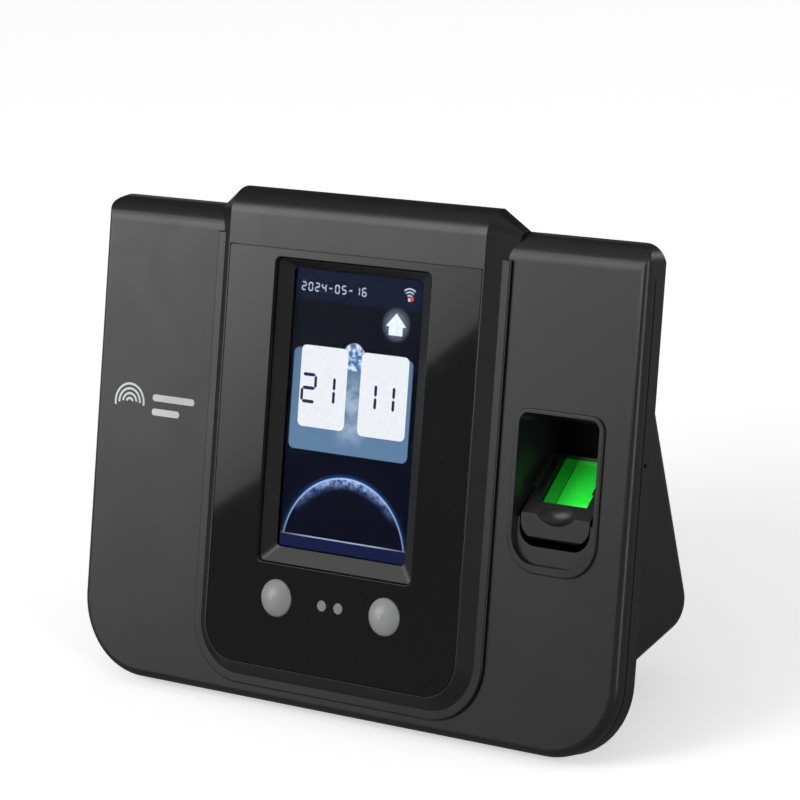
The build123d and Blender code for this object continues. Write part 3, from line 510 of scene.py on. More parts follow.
def sensor_glass():
    """Green light behind glass, laid out across and up the window."""
    material, tree, principled = shader("sensor_glass", IOR=1.5, Coat_Weight=1.0,
                                        Coat_Roughness=0.03, Emission_Strength=1.0)
    place = own_place(tree)
    part = node(tree, "ShaderNodeSeparateXYZ", {0: place})
    across = ramp(tree, part.outputs["X"], well_low.x, well_high.x)
    up = ramp(tree, part.outputs["Z"], well_low.z, well_high.z)
    speckle = noise(tree, place, 900.0)
    light = times(
        tree,
        ramp(tree, up, 0.35, 1.0, 1.0, 0.34, smooth=True),
        ramp(tree, across, 0.15, 0.80, 0.40, 1.0, smooth=True),
        ramp(tree, across, 0.25, 0.28, 0.55, 1.0, smooth=True),
        ramp(tree, apart(tree, across, BAND_EDGE), 0.004, 0.02, 0.25, 1.0),
        ramp(tree, apart(tree, up, PRISM_EDGE), 0.004, 0.018, 0.40, 1.0),
        ramp(tree, speckle, 0.3, 0.7, 0.9, 1.05))
    # The base colour follows the same light, so the glass is painted a little greener where the
    # lamps light it most: a painted glow.
    feed(tree, principled,
         Emission_Color=mixed(tree, light, (0.0, 0.012, 0.0), (0.02, 0.95, 0.05)),
         Base_Color=mixed(tree, light, (0.002, 0.01, 0.002), (0.01, 0.05, 0.01)),
         Roughness=ramp(tree, speckle, 0.3, 0.7, 0.05, 0.12))
    return material


finishes["sensor_glass"] = sensor_glass()
print("sensor window", [round(size / MM, 1) for size in well_high - well_low], "mm")

# %% [markdown]
# ## The picture on the display
# The display shows a clock page: a night sky, a planet's lit limb low down, a pale panel behind
# two number cards, a status bar and a bottom bar. Soft parts such as glow and cloud suit shader
# arithmetic; crisp parts such as numerals suit geometry. The picture is laid out in the panel's
# millimetres, which the display's own UV map holds, so the shader can use real sizes. A rounded
# box's distance formula serves for every bar and panel.

# %% Shape groups for the picture
def shape_group(name, extra):
    """A group that turns a place into a mask, with a centre and a soft edge."""
    sockets = [("Place", "Vector", None), ("Centre", "Vector", None), ("Soft", "Float", 0.2)]
    return new_group(name, sockets + extra, [("Mask", "Float"), ("Distance", "Float")])


def vector(tree, operation, *values, result="Vector"):
    """A Vector Math node's result."""
    inputs = dict(enumerate(values))
    return node(tree, "ShaderNodeVectorMath", inputs, operation=operation).outputs[result]


def close_shape(group, asked, given, outside):
    """Puts out a shape's distance, and the soft mask that it makes."""
    edge = sum_of(group, "DIVIDE", outside, asked["Soft"])
    feed(group, given, Mask=ramp(group, edge, -1, 1, 1, 0), Distance=outside)


disc, taken, given = shape_group("disc", [("Radius", "Float", 1.0)])
asked = taken.outputs
reach = vector(disc, "DISTANCE", asked["Place"], asked["Centre"], result="Value")
close_shape(disc, asked, given, sum_of(disc, "SUBTRACT", reach, asked["Radius"]))
print("disc", len(disc.nodes), "nodes")

# %% Rounded box group
box, taken, given = shape_group(
    "rounded_box", [("Half size", "Vector", None), ("Radius", "Float", 1.0)])
asked = taken.outputs
offset = vector(box, "SUBTRACT", asked["Place"], asked["Centre"])
core = vector(box, "SUBTRACT", vector(box, "ABSOLUTE", offset), asked["Half size"])
sides = node(box, "ShaderNodeSeparateXYZ", {0: core})
squares = []
for axis in ("X", "Y"):
    past = sum_of(box, "ADD", sides.outputs[axis], asked["Radius"])
    past = sum_of(box, "MAXIMUM", past, 0.0)
    squares.append(times(box, past, past))
length = sum_of(box, "SQRT", sum_of(box, "ADD", *squares))
close_shape(box, asked, given, sum_of(box, "SUBTRACT", length, asked["Radius"]))
print("rounded_box", len(box.nodes), "nodes")

# %% [markdown]
# ## Layers of the picture
# The sky is nearly black navy. The limb is a thin bright line on a large circle, strongest at the
# top, with a band of broken cloud just inside it. Each layer is mixed over the last by its mask,
# in the order that the eye sees them. Numbers are the panel's millimetres.

# %% The planet's limb
SCREEN_LOW = 55.0
SCREEN_HIGH = 150.04
SCREEN_HALF = 26.93
LIMB_FOOT = 54.7
LIMB_RADIUS = 26.0
LIMB_TOP = LIMB_FOOT + LIMB_RADIUS


def over(tree, picture, colour, *masks):
    """One more layer on the picture, as strong as its masks multiplied together."""
    return mixed(tree, times(tree, *masks), picture, colour)


def limb(tree, picture, place, high, cloud):
    """A planet's dark side, with a cloud band, a glow and a bright line along its edge."""
    globe = use_group(tree, disc, place=place, centre=(0, LIMB_FOOT, 0), radius=LIMB_RADIUS,
                      soft=0.25)
    depth, inside = globe.outputs["Distance"], globe.outputs["Mask"]
    outer = sum_of(tree, "SUBTRACT", 1.0, inside)
    towards_top = ramp(tree, high, LIMB_FOOT + 2, LIMB_TOP, 0.35, 1.0)
    band = ramp(tree, depth, -4.6, -0.4, 0.0, 1.0, smooth=True)
    lit_band = times(tree, band, ramp(tree, high, LIMB_FOOT + 12, LIMB_TOP), inside)
    broken = ramp(tree, cloud, 0.40, 0.66)
    glow = ramp(tree, depth, 0.0, 2.0, 0.22, 0.0, smooth=True)
    line = ramp(tree, sum_of(tree, "ABSOLUTE", depth), 0.05, 0.48, 1.0, 0.0, smooth=True)
    picture = over(tree, picture, (0.0008, 0.0015, 0.008), inside)
    picture = over(tree, picture, (0.02, 0.10, 0.42), lit_band, 0.70)
    sharper = sum_of(tree, "POWER", lit_band, 1.6)
    picture = over(tree, picture, (0.66, 0.78, 1.0), sharper, broken)
    picture = over(tree, picture, (0.06, 0.22, 0.75), glow, outer, towards_top)
    return over(tree, picture, (0.40, 0.62, 1.0), line, towards_top)


print("limb's top is", round(SCREEN_HIGH - LIMB_TOP, 2), "mm under the picture's top edge")

# %% Pane, bars and badges
TOP_BAR = 139.6
FOOT_BAR = 59.35


def pane(tree, picture, place, across, high, cloud):
    """The pale pane behind the cards, mist up its middle, and a small planet on its top."""
    sheet = use_group(tree, box, place=place, centre=(-0.75, 106.0, 0), half_size=(25.2, 17.3, 9),
                      radius=2.2, soft=0.15).outputs["Mask"]
    column = ramp(tree, sum_of(tree, "ABSOLUTE", across), 1.0, 9.0, 1.0, 0.0, smooth=True)
    wisps = ramp(tree, noise(tree, place, 0.16, detail=4.0, distortion=1.5), 0.3, 0.6)
    rising, falling = ramp(tree, high, 90, 99), ramp(tree, high, 118, 108)
    ball = use_group(tree, disc, place=place, centre=(-0.4, 122.0, 0), radius=4.7, soft=0.2)
    lands = mixed(tree, ramp(tree, cloud, 0.44, 0.58), (0.05, 0.16, 0.42), (0.75, 0.82, 0.90))
    shade = ramp(tree, high, 88, 124, 0.86, 0.72)
    picture = over(tree, picture, (0.14, 0.26, 0.42), sheet, shade)
    picture = over(tree, picture, (0.46, 0.58, 0.72), column, rising, falling, wisps, 0.7)
    return over(tree, picture, lands, ball.outputs["Mask"])


def bars(tree, picture, place, across, high):
    """The bars along the top and the foot, the foot's hairline, and the house badge's halo."""
    hairline = ramp(tree, apart(tree, high, FOOT_BAR), 0.1, 0.3, 1, 0)
    ends = ramp(tree, sum_of(tree, "ABSOLUTE", across), 14, 26, 1.0, 0.15)
    halo = use_group(tree, disc, place=place, centre=(16.2, 134.5, 0), radius=3.4, soft=2.8)
    above = ramp(tree, high, TOP_BAR, TOP_BAR + 0.4)
    below = ramp(tree, high, FOOT_BAR + 0.15, FOOT_BAR - 0.15)
    picture = over(tree, picture, (0.004, 0.007, 0.026), above)
    picture = over(tree, picture, (0.006, 0.010, 0.050), below)
    picture = over(tree, picture, (0.45, 0.50, 0.70), hairline, ends)
    return over(tree, picture, (0.30, 0.36, 0.50), halo.outputs["Mask"], 0.8)


print("bars at", TOP_BAR, "and", FOOT_BAR, "mm up the panel")

# %% Screen material
def screen_picture():
    """The clock page, drawn in the panel's millimetres. Outside the lit area it is dark."""
    material, tree, principled = shader("screen", Roughness=0.6, Specular_IOR_Level=0.04,
                                        Emission_Strength=1.0)
    place = node(tree, "ShaderNodeUVMap", uv_map="panel_mm").outputs["UV"]
    part = node(tree, "ShaderNodeSeparateXYZ", {0: place})
    across, high = part.outputs["X"], part.outputs["Y"]
    cloud = noise(tree, place, 0.42, detail=6.0, roughness=0.62)
    up = ramp(tree, high, SCREEN_LOW, SCREEN_HIGH)
    picture = mixed(tree, up, (0.0006, 0.0012, 0.010), (0.0012, 0.0018, 0.006))
    picture = limb(tree, picture, place, high, cloud)
    picture = pane(tree, picture, place, across, high, cloud)
    picture = bars(tree, picture, place, across, high)
    half_size = (SCREEN_HALF, (SCREEN_HIGH - SCREEN_LOW) / 2, 9)
    active = use_group(tree, box, place=place, centre=(0, (SCREEN_LOW + SCREEN_HIGH) / 2, 0),
                       half_size=half_size, radius=0.2, soft=0.05).outputs["Mask"]
    dots = noise(tree, place, 9.0)
    feed(tree, principled,
         Emission_Color=mixed(tree, active, (0.0, 0.0, 0.0), picture),
         Base_Color=mixed(tree, dots, (0.002, 0.002, 0.002), (0.005, 0.005, 0.006)))
    return material


finishes["screen"] = screen_picture()
print("screen", len(finishes["screen"].node_tree.nodes), "nodes")

# %% [markdown]
# ## Lit shapes
# Cards, numerals and badges glow as the display does. One function gives each its colour, its
# strength, and how far a fine dot pattern dims it.

# %% Lit finishes
def lit(name, colour, strength, shade):
    """A lit shape on the display: its light varies by a fine dot pattern."""
    material, tree, principled = shader(
        name, Roughness=0.6, Specular_IOR_Level=0.04, Base_Color=(0.01, 0.01, 0.01, 1),
        Emission_Strength=strength)
    dots = ramp(tree, noise(tree, own_place(tree), 700.0, detail=1.0), 0.3, 0.7)
    dimmer = tuple(channel * shade for channel in colour)
    feed(tree, principled, Emission_Color=mixed(tree, dots, dimmer, colour))
    return material


# Name, colour, strength, and the tone of the darkest dots
LIT = (
    ("card_white", (0.90, 0.92, 0.95), 1.0, 0.94),
    ("digit_ink", (0.030, 0.018, 0.095), 1.0, 0.60),
    ("badge_white", (0.85, 0.92, 1.0), 1.1, 0.85),
    ("numeral_white", (0.62, 0.70, 0.85), 1.0, 0.85),
    ("alert_red", (0.85, 0.06, 0.05), 1.0, 0.85),
)
for row in LIT:
    finishes[row[0]] = lit(*row)
print("lit finishes", [row[0] for row in LIT])

# %% [markdown]
# ## Pieces from outlines
# Numerals, cards and badges are thin closed plates. One helper takes outlines in the panel's
# millimetres and a pair of depths, and gives one mesh. Its normals are recalculated last, so
# every plate faces outwards.

# %% Plate helpers
def finished(piece, body="terminal", replaced=()):
    """Says what a piece rides on, and hides the frame's nodes that it stands for."""
    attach(piece, body)
    if replaced:
        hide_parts(*replaced)
    return piece


def piece_from(name, edit, material):
    """A new object from a bmesh, with its faces outward."""
    bmesh.ops.recalc_face_normals(edit, faces=edit.faces)
    mesh = bpy.data.meshes.new(name)
    edit.to_mesh(mesh)
    edit.free()
    mesh.materials.append(material)
    return in_scene(name, mesh)


def plates(name, outlines, near, deep, material):
    """Closed plates over outlines of (u, v), from one depth to another, as one piece."""
    edit = bmesh.new()
    for outline in outlines:
        front = [edit.verts.new(on_panel(u, v, near)) for u, v in outline]
        back = [edit.verts.new(on_panel(u, v, deep)) for u, v in outline]
        edit.faces.new(front)
        edit.faces.new(back[::-1])
        for here in range(len(outline)):
            after = (here + 1) % len(outline)
            edit.faces.new((front[after], front[here], back[here], back[after]))
    return piece_from(name, edit, material)


print("plate helpers ready")

# %% Outlines
def rounded_outline(left, right, low_v, high_v, radius, steps=8):
    """A rectangle's outline with rounded corners, as points round it."""
    points = []
    corners = ((right, high_v, 0), (left, high_v, 90), (left, low_v, 180), (right, low_v, 270))
    for u, v, start in corners:
        centre = (u - radius * (1 if u == right else -1), v - radius * (1 if v == high_v else -1))
        for step in range(steps + 1):
            turn = radians(start + 90 * step / steps)
            points.append((centre[0] + radius * cos(turn), centre[1] + radius * sin(turn)))
    return points


def arc_band(centre, radius, width, start, end, steps=24):
    """A curved stroke's outline between two angles in degrees, with square ends."""
    turns = [radians(start + (end - start) * step / steps) for step in range(steps + 1)]
    outer, inner = [
        [(centre[0] + reach * cos(turn), centre[1] + reach * sin(turn)) for turn in turns]
        for reach in (radius + width / 2, radius - width / 2)]
    return outer + inner[::-1]


print("a rounded outline has", len(rounded_outline(-1, 1, -1, 1, 0.5)), "points")

# %% [markdown]
# ## Numerals
# Numbers on a clock page are drawn with seven bars. Each bar is a six-sided stroke with pointed
# ends, and a table says which bars each numeral lights.

# %% Seven-bar numerals
BARS = {
    "0": "abcdef", "1": "bc", "2": "abdeg", "3": "abcdg", "4": "bcfg",
    "5": "acdfg", "6": "acdefg", "7": "abc", "8": "abcdefg", "9": "abcdfg", "-": "g",
}
BAR_GAP = 0.12


def bar_outline(start, end, width):
    """One stroke with pointed ends."""
    along = Vector((end[0] - start[0], end[1] - start[1]))
    along.normalize()
    across = Vector((-along.y, along.x)) * width / 2
    tip = along * width / 2
    a, b = Vector(start) + along * width * BAR_GAP, Vector(end) - along * width * BAR_GAP
    points = (a, a + tip - across, b - tip - across, b, b - tip + across, a + tip + across)
    return [tuple(point) for point in points]


def numeral(sign, left, low_v, width, height, stroke):
    """The outlines of one numeral's bars."""
    right, middle, top = left + width, low_v + height / 2, low_v + height
    ends = {
        "a": ((left, top), (right, top)), "b": ((right, middle), (right, top)),
        "c": ((right, low_v), (right, middle)), "d": ((left, low_v), (right, low_v)),
        "e": ((left, low_v), (left, middle)), "f": ((left, middle), (left, top)),
        "g": ((left, middle), (right, middle)),
    }
    return [bar_outline(*ends[bar], stroke) for bar in BARS[sign]]


def number(text, left, low_v, width, height, stroke, pitch):
    """The outlines of a row of numerals."""
    outlines = []
    for place_in_row, sign in enumerate(text):
        outlines += numeral(sign, left + place_in_row * pitch, low_v, width, height, stroke)
    return outlines


print("bars in an 8:", len(numeral("8", 0, 0, 1, 2, 0.2)))

# %% [markdown]
# ## The display's picture in place
# The display panel is redrawn as a plate with a UV map in the panel's millimetres, and stands for
# the plain node. Cards, numerals and badges lie on it in layers a hundredth of a millimetre
# thick, in the gap under the touch glass.

# %% Display panel
LCD_NEAR = 0.2
LCD_DEEP = 1.8
LCD_BORDER = 2.6
LAYER = 0.012
half = SCREEN_HALF + LCD_BORDER
outline = rounded_outline(-half, half, SCREEN_LOW - LCD_BORDER, SCREEN_HIGH + LCD_BORDER, 0.8)
display = plates("display_picture", [outline], LCD_NEAR, LCD_DEEP, finishes["screen"])
flat_map = display.data.uv_layers.new(name="panel_mm")
for loop in display.data.loops:
    spot = display.data.vertices[loop.vertex_index].co / MM - PANEL_FOOT
    flat_map.data[loop.index].uv = (spot.x, spot.dot(PANEL_UP))
finished(display, replaced=["lcd_panel"])
print("display", round(2 * half, 1), "mm wide")

# %% Layers on the display
DIGIT_FOOT = 105.2
DIGIT_STROKE = 1.15


def layer(name, outlines, level, material):
    """A thin picture layer, a number of levels above the display's face."""
    near = LCD_NEAR - LAYER * (level + 1)
    return finished(plates(name, outlines, near, near + LAYER * 0.8, finishes[material]))


cards = [rounded_outline(-22.7, -2.8, 96.6, 124.4, 2.0),
         rounded_outline(2.9, 22.8, 95.9, 124.1, 2.0)]
layer("number_cards", cards, 1, "card_white")
hours = number("21", -21.6, DIGIT_FOOT, 5.6, 9.2, DIGIT_STROKE, 8.0)
minutes = number("11", 4.2, DIGIT_FOOT, 5.4, 8.6, DIGIT_STROKE, 7.6)
layer("clock_numerals", hours + minutes, 2, "digit_ink")
date = number("2024-05-16", -24.4, 142.9, 1.55, 2.6, 0.42, 2.85)
layer("date_numerals", date, 1, "numeral_white")
house = [(13.3, 133.9), (13.3, 130.9), (19.0, 130.9), (19.0, 133.9), (20.4, 133.9),
         (16.15, 138.4), (11.9, 133.9)]
layer("house_badge", [house], 1, "badge_white")
SIGNAL = (21.0, 143.4)
waves = [arc_band(SIGNAL, radius, 0.5, 50, 130, 10) for radius in (1.4, 2.5, 3.6)]
waves.append(arc_band(SIGNAL, 0.35, 0.7, 0, 350, 12))
layer("signal_badge", waves, 1, "numeral_white")
layer("signal_dot", [rounded_outline(21.2, 22.8, 142.9, 144.5, 0.79)], 2, "alert_red")
print("layers on the display: cards, numerals, date, house, signal and its dot")

# %% [markdown]
# ## Printed mark on the left wing
# The case carries a small printed mark. Here it is a plain one of this lesson's own: nested ridge
# arcs, as on a fingertip, beside two short rules. Ink stands three hundredths of a millimetre
# proud of the moulding.

# %% Printed mark
INK_RISE = 0.03
INK_SUNK = 0.02
MARK = (-98.0, 96.5)
finishes["mark_ink"] = moulded(
    "mark_ink", (0.72, 0.72, 0.73), 0.5, size=0.3, depth=0.004, dust=0.05, spread=0.10)
ridges = [arc_band(MARK, radius, 0.85, 20 - radius * 4, 160 + radius * 5, 28)
          for radius in (1.4, 3.1, 4.8, 6.5)]
rules = [rounded_outline(-87.5, right, low_v, low_v + 2.4, 1.1)
         for right, low_v in ((-68.5, 98.0), (-75.0, 93.0))]
mark = plates("printed_mark", ridges + rules, -INK_RISE, INK_SUNK, finishes["mark_ink"])
finished(mark)
print("mark", len(mark.data.polygons), "faces")

# %% [markdown]
# ## Smooth skins over the frame's nodes
# The frame's meshes are loose triangles, so light breaks into facets on every curve. A merged
# copy fixes that: its doubles are joined, flat faces are dissolved into one, a hair-thin bevel
# softens each sharp edge as a mould does, and weighted normals keep flat faces flat. The copy
# stands for its node, which stays in the frame for collision.

# %% Skin helper
SHARP = radians(28)
FLAT = radians(0.3)
WELD = 0.002 * MM


def merged(name):
    """A node's loose triangles as a bmesh whose doubles are joined."""
    edit = bmesh.new()
    edit.from_mesh(frame["nodes"][name].data)
    bmesh.ops.remove_doubles(edit, verts=edit.verts, dist=WELD)
    return edit


def settle(piece):
    """Keeps what a piece's modifiers make as its own plain mesh, and drops them."""
    bpy.context.view_layer.update()
    graph = bpy.context.evaluated_depsgraph_get()
    final = bpy.data.meshes.new_from_object(piece.evaluated_get(graph))
    piece.modifiers.clear()
    final.name = piece.name
    piece.data = final


def skin(name, edge):
    """A smooth copy of a node, with its sharp edges rounded by a width in millimetres."""
    edit = merged(name)
    bmesh.ops.dissolve_limit(edit, angle_limit=FLAT, verts=edit.verts, edges=edit.edges)
    mesh = bpy.data.meshes.new(name + "_skin")
    edit.to_mesh(mesh)
    edit.free()
    mesh.materials.clear()
    mesh.materials.append(finishes[slot_of[name]])
    mesh.shade_smooth()
    mesh.set_sharp_from_angle(angle=SHARP)
    piece = in_scene(name + "_skin", mesh)
    if edge:
        bevel = piece.modifiers.new("soft_edge", "BEVEL")
        bevel.width = edge * MM
        bevel.segments = 2
        bevel.limit_method = "ANGLE"
        bevel.angle_limit = SHARP
        bevel.harden_normals = False
    piece.modifiers.new("flat_faces", "WEIGHTED_NORMAL").keep_sharp = True
    settle(piece)
    return finished(piece, frame["nodes"][name]["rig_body"], [name])


print("skin helper ready")

# %% Finishes on every node, then skins on what is seen
SOFT_EDGES = {
    "front_shell": 0.12, "rear_shell": 0.12, "center_bezel": 0.12, "lens_plate": 0.10,
    "display_bezel": 0.0, "finger_well": 0.15, "finger_guide": 0.40, "lens_cover_left": 0.0,
    "lens_cover_right": 0.0, "status_lens_left": 0.15, "status_lens_right": 0.15,
    "wall_plate": 0.15, "camera_left": 0.1, "camera_right": 0.1, "network_jack": 0.2,
    "usb_port": 0.08, "power_jack": 0.2, "terminal_block": 0.1, "speaker": 0.1,
    "tamper_plunger": 0.0, "relay": 0.3,
}
for name, source in frame["nodes"].items():
    source.data.materials[0] = finishes[slot_of[name]]
for name, edge in SOFT_EDGES.items():
    made = skin(name, edge)
    print(made.name, len(made.data.polygons), "faces")

# %% [markdown]
# ## Growing what repeats
# Screws, contacts, ribs, soldered chips and the threads of a cloth all repeat one shape many
# times. Geometry Nodes suits them: a small tree places copies by rule, and its named inputs hold
# the sizes. Each tree here ends the same way, by making its copies real and giving them their
# material, so one helper closes them all. Another runs a tree on a few points, keeps the result
# as a plain mesh and drops the modifier.

# %% Growth helpers
def growing_tree(name, inputs):
    """An empty Geometry Nodes tree with named inputs, as (tree, input node, output node)."""
    tree = bpy.data.node_groups.new(name, "GeometryNodeTree")
    sockets = [("Geometry", "Geometry", None)] + inputs + [("Material", "Material", None)]
    for label, kind, value in sockets:
        socket = tree.interface.new_socket(label, in_out="INPUT", socket_type="NodeSocket" + kind)
        if value is not None:
            socket.default_value = value
    tree.interface.new_socket("Geometry", in_out="OUTPUT", socket_type="NodeSocketGeometry")
    return tree, tree.nodes.new("NodeGroupInput"), tree.nodes.new("NodeGroupOutput")


def close_tree(tree, copies, taken, given):
    """Makes a tree's copies real, then sets their material."""
    real = node(tree, "GeometryNodeRealizeInstances", {"Geometry": copies}).outputs[0]
    coat = node(tree, "GeometryNodeSetMaterial", {
        "Geometry": real, "Material": taken.outputs["Material"]})
    tree.links.new(coat.outputs[0], given.inputs[0])


def grow(name, tree, slot, values, points=(), faces=(), replaced=(), finish=None):
    """Runs a tree on points or faces and keeps its result as a plain piece of the terminal."""
    start = bpy.data.meshes.new(name + "_start")
    start.from_pydata([tuple(point) for point in points], [], faces)
    piece = in_scene(name, start)
    modifier = piece.modifiers.new(name, "NODES")
    modifier.node_group = tree
    values = {**values, "Material": finishes[finish or slot]}
    for item in tree.interface.items_tree:
        if item.in_out == "INPUT" and item.name in values:
            modifier[item.identifier] = values[item.name]
    settle(piece)
    edit = bmesh.new()
    edit.from_mesh(piece.data)
    bmesh.ops.recalc_face_normals(edit, faces=edit.faces)
    edit.to_mesh(piece.data)
    edit.free()
    print(name, len(piece.data.polygons), "faces")
    return finished(piece, replaced=replaced)


print("growth helpers ready")

# %% [markdown]
# ## Screws
# The housing is closed from behind by six cross-recessed screws, and smaller ones hold the
# bracket, the camera board and the bezel. All have one shape at two sizes: a slightly coned head
# with a cross cut into it, on a plain shank. The frame already knows where each screw sits, so
# the places are measured from its own loose parts on the panel's ruler, and the tree only puts a
# better screw there.

# %% Places of loose parts
def loose_parts(name):
    """Each loose part of a node: its middle (u, v) and its range of depth n on the ruler."""
    edit = merged(name)
    waiting, parts = set(edit.verts), []
    while waiting:
        front, found = [waiting.pop()], []
        while front:
            here = front.pop()
            found.append(here.co / MM - PANEL_FOOT)
            joined = {link.other_vert(here) for link in here.link_edges} & waiting
            waiting -= joined
            front += joined
        spans = []
        for axis in (Vector((1, 0, 0)), PANEL_UP, PANEL_IN):
            run = [spot.dot(axis) for spot in found]
            spans.append((min(run), max(run)))
        parts.append((sum(spans[0]) / 2, sum(spans[1]) / 2, spans[2]))
    edit.free()
    return parts


case_screws = [[round(value, 1) for value in part[:2]] for part in loose_parts("case_screws")]
print("case screws at", case_screws)

# %% Screw tree
CROWN = 0.80
RECESS_SPAN = 1.15
screw_tree, taken, given = growing_tree("cross_screw", [
    ("Head radius", "Float", 2.7 * MM), ("Head height", "Float", 1.1 * MM),
    ("Recess width", "Float", 0.7 * MM), ("Shank radius", "Float", 1.4 * MM),
    ("Shank length", "Float", 7 * MM), ("Turn", "Rotation", None),
])
sizes = taken.outputs
crown = times(screw_tree, sizes["Head radius"], CROWN)
head = node(screw_tree, "GeometryNodeMeshCone", {
    "Vertices": 40, "Radius Top": crown, "Radius Bottom": sizes["Head radius"],
    "Depth": sizes["Head height"]})
recessed = node(screw_tree, "GeometryNodeMeshBoolean", {"Mesh 1": head.outputs["Mesh"]},
                operation="DIFFERENCE")
span = times(screw_tree, sizes["Head radius"], RECESS_SPAN)
lift = node(screw_tree, "ShaderNodeCombineXYZ", {2: sizes["Head height"]}).outputs[0]
for wide, deep in ((span, sizes["Recess width"]), (sizes["Recess width"], span)):
    size = node(screw_tree, "ShaderNodeCombineXYZ", {0: wide, 1: deep, 2: sizes["Head height"]})
    bar = node(screw_tree, "GeometryNodeMeshCube", {"Size": size.outputs[0]}).outputs[0]
    cut = node(screw_tree, "GeometryNodeTransform", {"Geometry": bar, "Translation": lift})
    screw_tree.links.new(cut.outputs[0], recessed.inputs["Mesh 2"])
print("screw head", len(screw_tree.nodes), "nodes")

# %% Screw tree's shank and copies
shank = node(screw_tree, "GeometryNodeMeshCylinder", {
    "Vertices": 20, "Radius": sizes["Shank radius"], "Depth": sizes["Shank length"]})
half_way = times(screw_tree, sizes["Shank length"], -0.5)
down = node(screw_tree, "ShaderNodeCombineXYZ", {2: half_way}).outputs[0]
hung = node(screw_tree, "GeometryNodeTransform", {
    "Geometry": shank.outputs["Mesh"], "Translation": down})
whole = node(screw_tree, "GeometryNodeJoinGeometry")
for piece in (recessed, hung):
    screw_tree.links.new(piece.outputs[0], whole.inputs[0])
copies = node(screw_tree, "GeometryNodeInstanceOnPoints", {
    "Points": sizes["Geometry"], "Instance": whole.outputs[0], "Rotation": sizes["Turn"]})
close_tree(screw_tree, copies.outputs[0], taken, given)
print("cross_screw", len(screw_tree.nodes), "nodes")

# %% Screws on the panel
BACKWARD = Euler((-LEAN - pi / 2, 0, 0))
LARGE = (2.7, 1.1, 0.75, 1.4)
SMALL = (1.9, 1.0, 0.5, 0.9)
for name, (head_r, head_h, recess, shank_r) in (
    ("case_screws", LARGE), ("bracket_screws", SMALL), ("camera_screws", SMALL),
    ("bezel_screws", SMALL),
):
    parts = loose_parts(name)
    places = [on_panel(u, v, deep - head_h) for u, v, (_, deep) in parts]
    near, deep = parts[0][2]
    grow(name + "_crossed", screw_tree, slot_of[name], {
        "Head radius": head_r * MM, "Head height": head_h * MM, "Recess width": recess * MM,
        "Shank radius": shank_r * MM, "Shank length": (deep - near - head_h) * MM,
        "Turn": BACKWARD}, places, replaced=[name])

# %% [markdown]
# ## Spring contacts in the network socket
# Eight gilt wires stand in the network socket. Each comes down the back wall and bends up again
# into the mouth, where a plug's contacts press on it. One curved segment swept with a thin round
# wire is the whole shape, so the tree needs a row, a curve and a sweep.

# %% Spring contact tree
spring_tree, taken, given = growing_tree("spring_row", [
    ("Count", "Int", 8), ("Pitch", "Float", 1.02 * MM), ("Wire radius", "Float", 0.2 * MM),
    ("First", "Vector", None), ("Bend", "Vector", None), ("Tip handle", "Vector", None),
    ("Tip", "Vector", None),
])
sizes = taken.outputs
step = node(spring_tree, "ShaderNodeCombineXYZ", {0: sizes["Pitch"]})
row = node(spring_tree, "GeometryNodeMeshLine", {
    "Count": sizes["Count"], "Start Location": sizes["First"], "Offset": step.outputs[0]})
curve = node(spring_tree, "GeometryNodeCurvePrimitiveBezierSegment", {
    "Resolution": 14, "Start": (0, 0, 0), "Start Handle": sizes["Bend"],
    "End Handle": sizes["Tip handle"], "End": sizes["Tip"]})
wire = node(spring_tree, "GeometryNodeCurvePrimitiveCircle", {
    "Resolution": 8, "Radius": sizes["Wire radius"]})
swept = node(spring_tree, "GeometryNodeCurveToMesh", {
    "Curve": curve.outputs[0], "Profile Curve": wire.outputs["Curve"], "Fill Caps": True})
copies = node(spring_tree, "GeometryNodeInstanceOnPoints", {
    "Points": row.outputs[0], "Instance": swept.outputs[0]})
close_tree(spring_tree, copies.outputs[0], taken, given)
print("spring_row", len(spring_tree.nodes), "nodes")

# %% Spring contacts
PIN_PITCH = 1.02
jack_low, jack_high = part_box("network_jack")
jack_y = (jack_low.y + jack_high.y) / 2
grow("network_contacts", spring_tree, "brass_post", {
    "Count": 8, "Pitch": PIN_PITCH * MM, "Wire radius": 0.2 * MM,
    "First": (-3.5 * PIN_PITCH * MM, jack_y + 3.6 * MM, jack_low.z + 11.5 * MM),
    "Bend": (0, 0, -15 * MM), "Tip handle": (0, -1.5 * MM, -9 * MM),
    "Tip": (0, -4.2 * MM, -3.5 * MM)}, finish="contact_gold")

# %% [markdown]
# ## Rows of flat blocks
# The USB tongue's four gilt strips, the terminal block's eight tinned clamps and the guide's grip
# ribs are rows of small blocks. They share one tree, with a step between blocks and a turn for
# the ones that lie along a slope.

# %% Block rows
row_tree, taken, given = growing_tree("block_row", [
    ("Count", "Int", 4), ("First", "Vector", None), ("Step", "Vector", None),
    ("Size", "Vector", None), ("Turn", "Rotation", None),
])
sizes = taken.outputs
row = node(row_tree, "GeometryNodeMeshLine", {
    "Count": sizes["Count"], "Start Location": sizes["First"], "Offset": sizes["Step"]})
cube = node(row_tree, "GeometryNodeMeshCube", {"Size": sizes["Size"]})
copies = node(row_tree, "GeometryNodeInstanceOnPoints", {
    "Points": row.outputs[0], "Instance": cube.outputs[0], "Rotation": sizes["Turn"]})
close_tree(row_tree, copies.outputs[0], taken, given)


def block_row(name, slot, count, first, step, size, turn=(0, 0, 0), finish=None):
    """A row of blocks, with sizes in millimetres and its first place in metres."""
    values = {"Count": count, "First": first, "Turn": Euler(turn)}
    values.update({"Step": Vector(step) * MM, "Size": Vector(size) * MM})
    return grow(name, row_tree, slot, values, finish=finish)


print("block_row", len(row_tree.nodes), "nodes")

